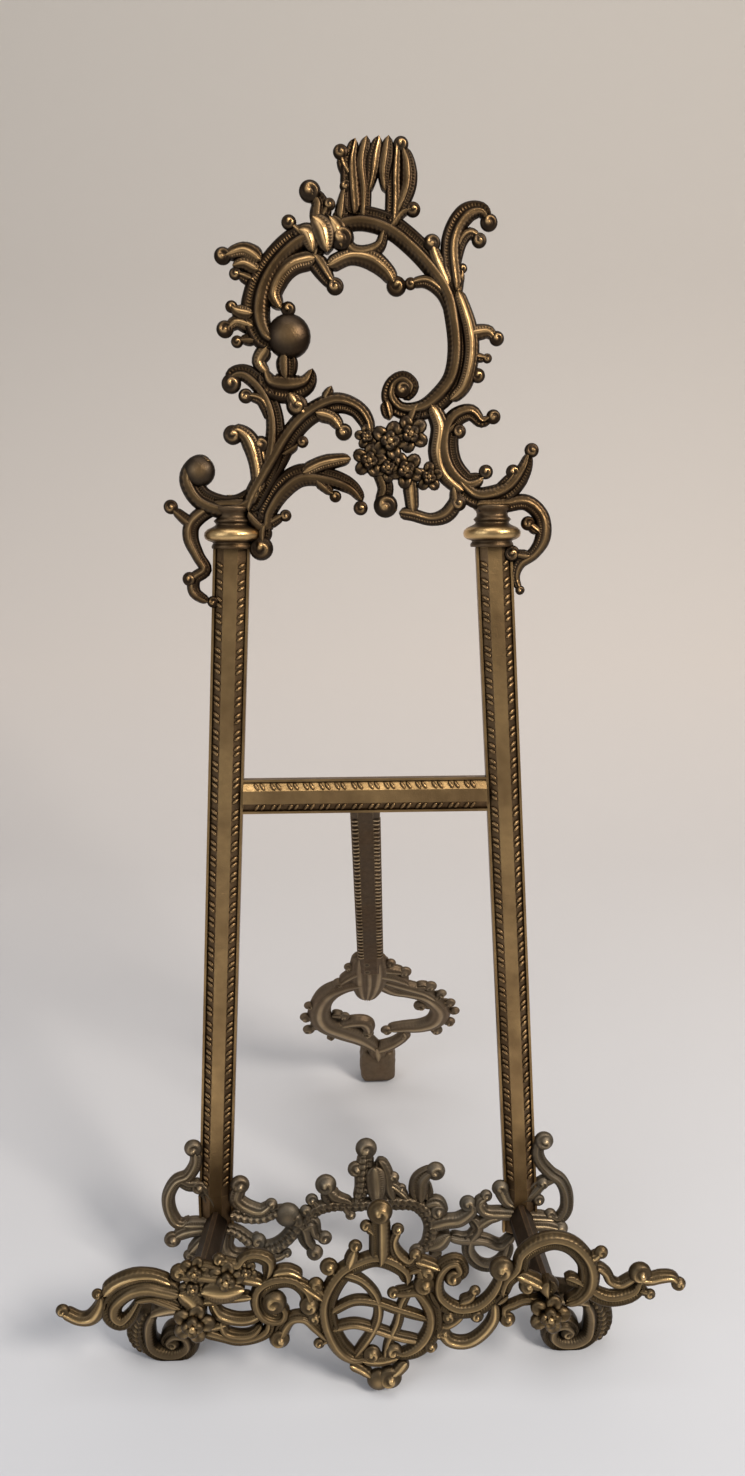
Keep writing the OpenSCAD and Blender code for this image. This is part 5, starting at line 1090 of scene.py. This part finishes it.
# %% [markdown]
# ## The crest
# The crest is one heavy casting that stands on both capitals: a great ring of scrolls, a
# plume above and flowers below. It could be sculpted, but its scrolls obey one rule, so
# drawing their paths and letting the tree carve them keeps it even and easy to change.

# %% Cast the crest
CREST_DRAWN_GAUGE = 114.2
crest_kx = 2 * gauge(CREST_SEAT) / CREST_DRAWN_GAUGE
casting("crest_scrollwork", CREST_STROKES, CREST_KNOBS, CREST_ROSES, on_frame, crest_brass, 2.4,
        "stand", "crest_brass", ["crest"], kx=crest_kx, lift=CREST_SEAT)

# %% [markdown]
# ## The lower rail
# The lower rail ties the stiles' feet together with thinner, ribbed scrolls. It is darker
# and duller, because it sits low and is rarely touched.

# %% Cast the lower rail
casting("lower_rail_scrollwork", LOWER_STROKES, LOWER_KNOBS, [], on_frame, lower_brass, 2.0,
        "stand", "lower_brass", ["lower_rail"], lift=SEAT_UP - 1.5, wide=RIBBED, slim=0.93)

# %% [markdown]
# ## Sockets under the stiles
# Each end of the lower rail has a block that the stile stands on. Its outline is the stile's
# own section, so the two read as one bar. A drawn outline pushed down the frame is enough.

# %% Sockets under the stiles
SOCKET_H = 24.0
RIGHT_HALF = [(8.5, -2.0), (8.5, 1.0), (7.4, 1.0), (7.0, 0.3), (3.0, 2.5)]
SOCKET_OUTLINE = [(-8.5, -2.0)] + RIGHT_HALF + [(-x, z) for x, z in reversed(RIGHT_HALF[1:])]


def socket_block(name, side):
    """The end of the lower rail that carries a stile, with the stile's own section."""
    count = len(SOCKET_OUTLINE)
    spots = [(side * gauge(SEAT_UP) + x, y, z)
             for y in (SEAT_UP - SOCKET_H, SEAT_UP) for x, z in SOCKET_OUTLINE]
    faces = [(k, k + count, (k + 1) % count + count, (k + 1) % count) for k in range(count)]
    faces += [tuple(range(count)), tuple(reversed(range(count, 2 * count)))]
    mesh = bpy.data.meshes.new(name)
    mesh.from_pydata(spots, [], faces)
    mesh.transform(on_frame)
    mesh.materials.append(bar_brass)
    joined(name, [mesh], "stand")


for side, word in ((LEFT, "left"), (RIGHT, "right")):
    socket_block(word + "_socket", side)

# %% [markdown]
# ## The front rail
# The front rail stops the album from sliding off. It hangs in front of the arms, in a plane
# parallel to the frame, with a cartouche of interlaced ribbon in the middle.

# %% Cast the front rail
STILE_FRONT, ALBUM_ROOM, RAIL_HALF_THICK = 2.6, 42.0, 2.0
RAIL_BACK = STILE_FRONT + ALBUM_ROOM
RAIL_MID = RAIL_BACK + RAIL_HALF_THICK
RAIL_CLEAR, PENDANT_DROP = 1.2, 10.5


def up_frame(z, n):
    """How far up the frame a point lies, z mm above the floor and n mm in front."""
    return (z - n * math.sin(LEAN)) / math.cos(LEAN)


rail_low = up_frame(RAIL_CLEAR, RAIL_BACK) + PENDANT_DROP
casting("front_rail_scrollwork", RAIL_STROKES, RAIL_KNOBS, RAIL_ROSES, on_frame, rail_brass, 2.0,
        "stand", "rail_brass", ["front_rail"], lift=rail_low, z=RAIL_MID, slim=0.87)

# %% [markdown]
# ## Rosettes at the arms' ends
# Each arm ends in a bold rosette that hides its stud. It is the same rose, larger.

# %% Two rosettes
ARM_TOP, ROSETTE_R, ROSETTE_DOWN, ROSETTE_FRONT = 51.0, 9.0, 12, 4.0
rosette_y = up_frame(ARM_TOP, RAIL_BACK) - ROSETTE_DOWN
for side, word in ((LEFT, "left"), (RIGHT, "right")):
    low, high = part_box(word + "_rosette")
    middle = (low[0] + high[0]) / 2 / MM
    place = (middle, rosette_y, RAIL_BACK + ROSETTE_FRONT, ROSETTE_R, NO_MARKS)
    rose = grow("rosette", line_mesh("rosette", [[place]]), ROSES, on_frame, finish=rail_brass)
    joined(word + "_rose", [rose], "stand", [word + "_rosette"])

# %% [markdown]
# ## Volute feet
# Each front foot is a scroll that rolls up in its own plane, with a ribbed rim beside it and
# a button in its eye. The same tree makes them, and their soles are worn flat on the table.

# %% Cast the feet
FOOT_OUT, SOLE_DOWN = 93.7, -0.7
for side, word in ((LEFT, "left"), (RIGHT, "right")):
    low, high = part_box(word + "_front_foot")
    middle = (low[1] + high[1]) / 2
    stand_up = Matrix.Translation((side * FOOT_OUT * MM, middle, 0)) \
        @ Matrix.Scale(side, 4, (1, 0, 0)) @ Matrix.Rotation(math.pi / 2, 4, "X") \
        @ Matrix.Scale(MM, 4)
    spiral = paths_from(FOOT_STROKES, lift=SOLE_DOWN, proud=2.4, swell=0.6)
    outer = paths_from(FOOT_RIM, lift=SOLE_DOWN, z=-1.5, wide=RIBBED, proud=1.4)
    button = spots_from([[0, 11, 3.5]], z=1.5)
    scrolls = grow("foot", line_mesh("foot", spiral), SCROLLS, stand_up, back=4.5,
                   finish=foot_brass)
    rim = grow("rim", line_mesh("rim", outer), SCROLLS, stand_up, back=3.0, finish=foot_brass)
    eye = grow("eye", line_mesh("eye", button), KNOBS, stand_up, back=4.0, finish=foot_brass)
    for mesh in (scrolls, rim, eye):
        for spot in mesh.vertices:
            spot.co.z = max(spot.co.z, 0.0)
    joined(word + "_volute_foot", [scrolls, rim, eye], "stand",
           [word + "_front_foot"])

# %% [markdown]
# ## The leg's ornament
# A pierced ring of leaves spreads the leg towards its foot. It rides on the leg, so its
# strokes are drawn on the leg's plane and go where the hinge takes them.

# %% Cast the leg's ornament
ORN_START, ORN_DRAWN, ORN_KX, PAD_LEN, INTO_PAD = 130.0, 120, 0.92, 25, 6
orn_ky = (leg_len - PAD_LEN - ORN_START + INTO_PAD) / ORN_DRAWN
casting("leg_ornament_scrollwork", ORN_STROKES, ORN_KNOBS, [], on_leg, leg_brass, 2.0,
        "leg", "leg_brass", ["leg_foot_ornament"], kx=ORN_KX, ky=orn_ky, lift=ORN_START, z=-2.0,
        wide=LEAF)

# %% [markdown]
# ## The pad under the leg
# The leg ends in a rough cast lump, worn flat where it stands. A block with rounded corners,
# roughened a little and cut off at the table, stands for it.

# %% Cast the pad
PAD_ROUND, PAD_ROUGH, ROUGH_SCALE, PAD_SEED = 0.45, 0.0007, 260.0, 5


def rough_pad():
    low, high = (Vector(corner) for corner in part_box("leg_pad"))
    middle, reach = (low + high) / 2, (high - low) / 2
    noise.seed_set(PAD_SEED)
    ball = bmesh.new()
    bmesh.ops.create_icosphere(ball, subdivisions=5, radius=1.0)
    mesh = bpy.data.meshes.new("pad")
    for spot in ball.verts:
        spot.co = [math.copysign(abs(c) ** PAD_ROUND, c) for c in spot.co]
        spot.co = middle + Vector(c * r for c, r in zip(spot.co, reach - Vector([PAD_ROUGH] * 3)))
        spot.co += noise.noise_vector(spot.co * ROUGH_SCALE) * PAD_ROUGH
        spot.co.z = max(spot.co.z, low.z)
    ball.to_mesh(mesh)
    ball.free()
    mesh.materials.append(leg_brass)
    mesh.shade_smooth()
    return mesh


joined("rough_pad", [rough_pad()], "leg", ["leg_pad"])

# %% [markdown]
# ## Finishes on the fitted parts
# The bars, arms, hinge and fastenings keep the exact model's shape.

# %% Give each fitted part its finish
FITTED = {
    bar_brass: ["left_stile", "right_stile", "crossbar"],
    arm_brass: ["left_ledge_arm", "right_ledge_arm"],
    leg_bar_brass: ["rear_leg"],
    leg_brass: ["hinge_bracket"],
    fastener_brass: ["capital_dowels", "arm_screws", "rosette_studs", "foot_screws",
                     "bracket_rivets", "hinge_pin", "pin_washers", "ornament_rivets"]}
for finish, parts in FITTED.items():
    for part in parts:
        slots = frame["nodes"][part].material_slots
        for number in range(len(slots)):
            slots[number].material = finish
    print(finish.name, "on", ", ".join(parts))

# %% [markdown]
# ## The studio
# The stand is shown on pale seamless paper that curves up behind it, in soft light from
# the upper right, with a camera a little above it and looking down.

# %% Paper sweep
SHEET_FRONT, SHEET_FLAT, SHEET_BEND, SHEET_TOP, SHEET_HALF = -1.6, 0.35, 0.45, 2.6, 2.2
BEND_STEPS = 16
# The paper's colour carries painted light and shade: cool towards the front, warm in the middle and
# darker towards the top.
FRONT_LIGHT_TINT, MIDDLE_LIGHT_TINT, TOP_SHADE_TINT = rgb(0.61, 0.636, 0.69), rgb(0.64, 0.588, 0.548), \
    rgb(0.53, 0.49, 0.445)


def paper_sweep():
    """A pale sheet that lies flat and curves up behind the stand."""
    run = [(SHEET_FRONT, 0.0), (SHEET_FLAT, 0.0)]
    for step in range(1, BEND_STEPS + 1):
        angle = math.pi / 2 * step / BEND_STEPS
        run.append((SHEET_FLAT + SHEET_BEND * math.sin(angle),
                    SHEET_BEND * (1 - math.cos(angle))))
    run.append((SHEET_FLAT + SHEET_BEND, SHEET_TOP))
    spots = [(x, y, z) for y, z in run for x in (-SHEET_HALF, SHEET_HALF)]
    faces = [(2 * k, 2 * k + 1, 2 * k + 3, 2 * k + 2) for k in range(len(run) - 1)]
    mesh = bpy.data.meshes.new("paper_sweep")
    mesh.from_pydata(spots, [], faces)
    mesh.shade_smooth()
    sheet = bpy.data.objects.new("paper_sweep", mesh)
    bpy.context.collection.objects.link(sheet)
    paper = bpy.data.materials.new("paper")
    paper.use_nodes = True
    tree = paper.node_tree
    shader = tree.nodes["Principled BSDF"]
    # painted light and shade across the sheet, by how far up and back a point lies
    spot = node(tree, "ShaderNodeSeparateXYZ", node(tree, "ShaderNodeTexCoord", out=3))
    reach = sums(tree)("ADD", spot.node.outputs[1], spot.node.outputs[2])
    high = node(tree, "ShaderNodeMapRange", reach, -0.3, 1.5, 0.0, 1.0)
    painted_light_ramp = tree.nodes.new("ShaderNodeValToRGB")
    tree.links.new(high, painted_light_ramp.inputs[0])
    painted_light_ramp.color_ramp.elements[0].color = FRONT_LIGHT_TINT
    painted_light_ramp.color_ramp.elements[1].color = TOP_SHADE_TINT
    painted_light_ramp.color_ramp.elements.new(0.55).color = MIDDLE_LIGHT_TINT
    tree.links.new(painted_light_ramp.outputs[0], shader.inputs["Base Color"])
    shader.inputs["Roughness"].default_value = 0.85
    mesh.materials.append(paper)


paper_sweep()
print("paper sweep laid")

# %% [markdown]
# ## Lights
# Three softboxes and a dim sky: a warm key from the upper right, a cool fill from the left
# and a broad one overhead. Soft sources give rubbed metal its long, quiet highlights.

# %% Lights
def softbox(name, place, aim, size, watts, colour):
    lamp = bpy.data.lights.new(name, "AREA")
    lamp.shape = "RECTANGLE"
    lamp.size, lamp.size_y = size
    lamp.energy = watts
    lamp.color = colour
    holder = bpy.data.objects.new(name, lamp)
    bpy.context.collection.objects.link(holder)
    holder.location = place
    holder.rotation_euler = (Vector(aim) - Vector(place)).to_track_quat("-Z", "Y").to_euler()


softbox("key", (0.95, -0.75, 1.25), (0, 0, 0.25), (0.45, 0.45), 20, (1.0, 0.93, 0.84))
softbox("fill", (-1.1, -0.9, 0.9), (0, 0, 0.25), (0.9, 1.2), 5, (0.88, 0.93, 1.0))
softbox("top", (0.0, -0.1, 1.9), (0, 0.1, 0.2), (1.2, 1.0), 9, (1.0, 0.98, 0.95))
SKY, SKY_STRENGTH = rgb(0.78, 0.8, 0.84), 0.34
world = bpy.data.worlds.new("studio")
bpy.context.scene.world = world
world.use_nodes = True
for socket, value in zip(world.node_tree.nodes["Background"].inputs, (SKY, SKY_STRENGTH)):
    socket.default_value = value
print("lights:", len(bpy.data.lights), "and a dim sky")

# %% [markdown]
# ## Camera
# The camera stands half a metre above the table, close in front, and looks down at the
# stand with a wide lens. That is why the bars draw together towards the base.

# %% Camera
CAMERA_SIDE, CAMERA_FRONT, CAMERA_UP = -0.00873, -0.36691, 0.48223
CAMERA_DOWN, CAMERA_TURN, LENS, SENSOR = 24.98, -1.6, 26.0, 36.0
lens = bpy.data.cameras.new("camera")
lens.sensor_fit = "VERTICAL"
lens.sensor_height = SENSOR
lens.lens = LENS
camera = bpy.data.objects.new("camera", lens)
bpy.context.collection.objects.link(camera)
camera.location = (CAMERA_SIDE, CAMERA_FRONT + floor_line_y, CAMERA_UP)
camera.rotation_euler = (math.radians(90 - CAMERA_DOWN), 0, math.radians(CAMERA_TURN))
bpy.context.scene.camera = camera
bpy.context.scene.view_settings.view_transform = "Standard"
print("camera at", [round(c, 3) for c in camera.location])
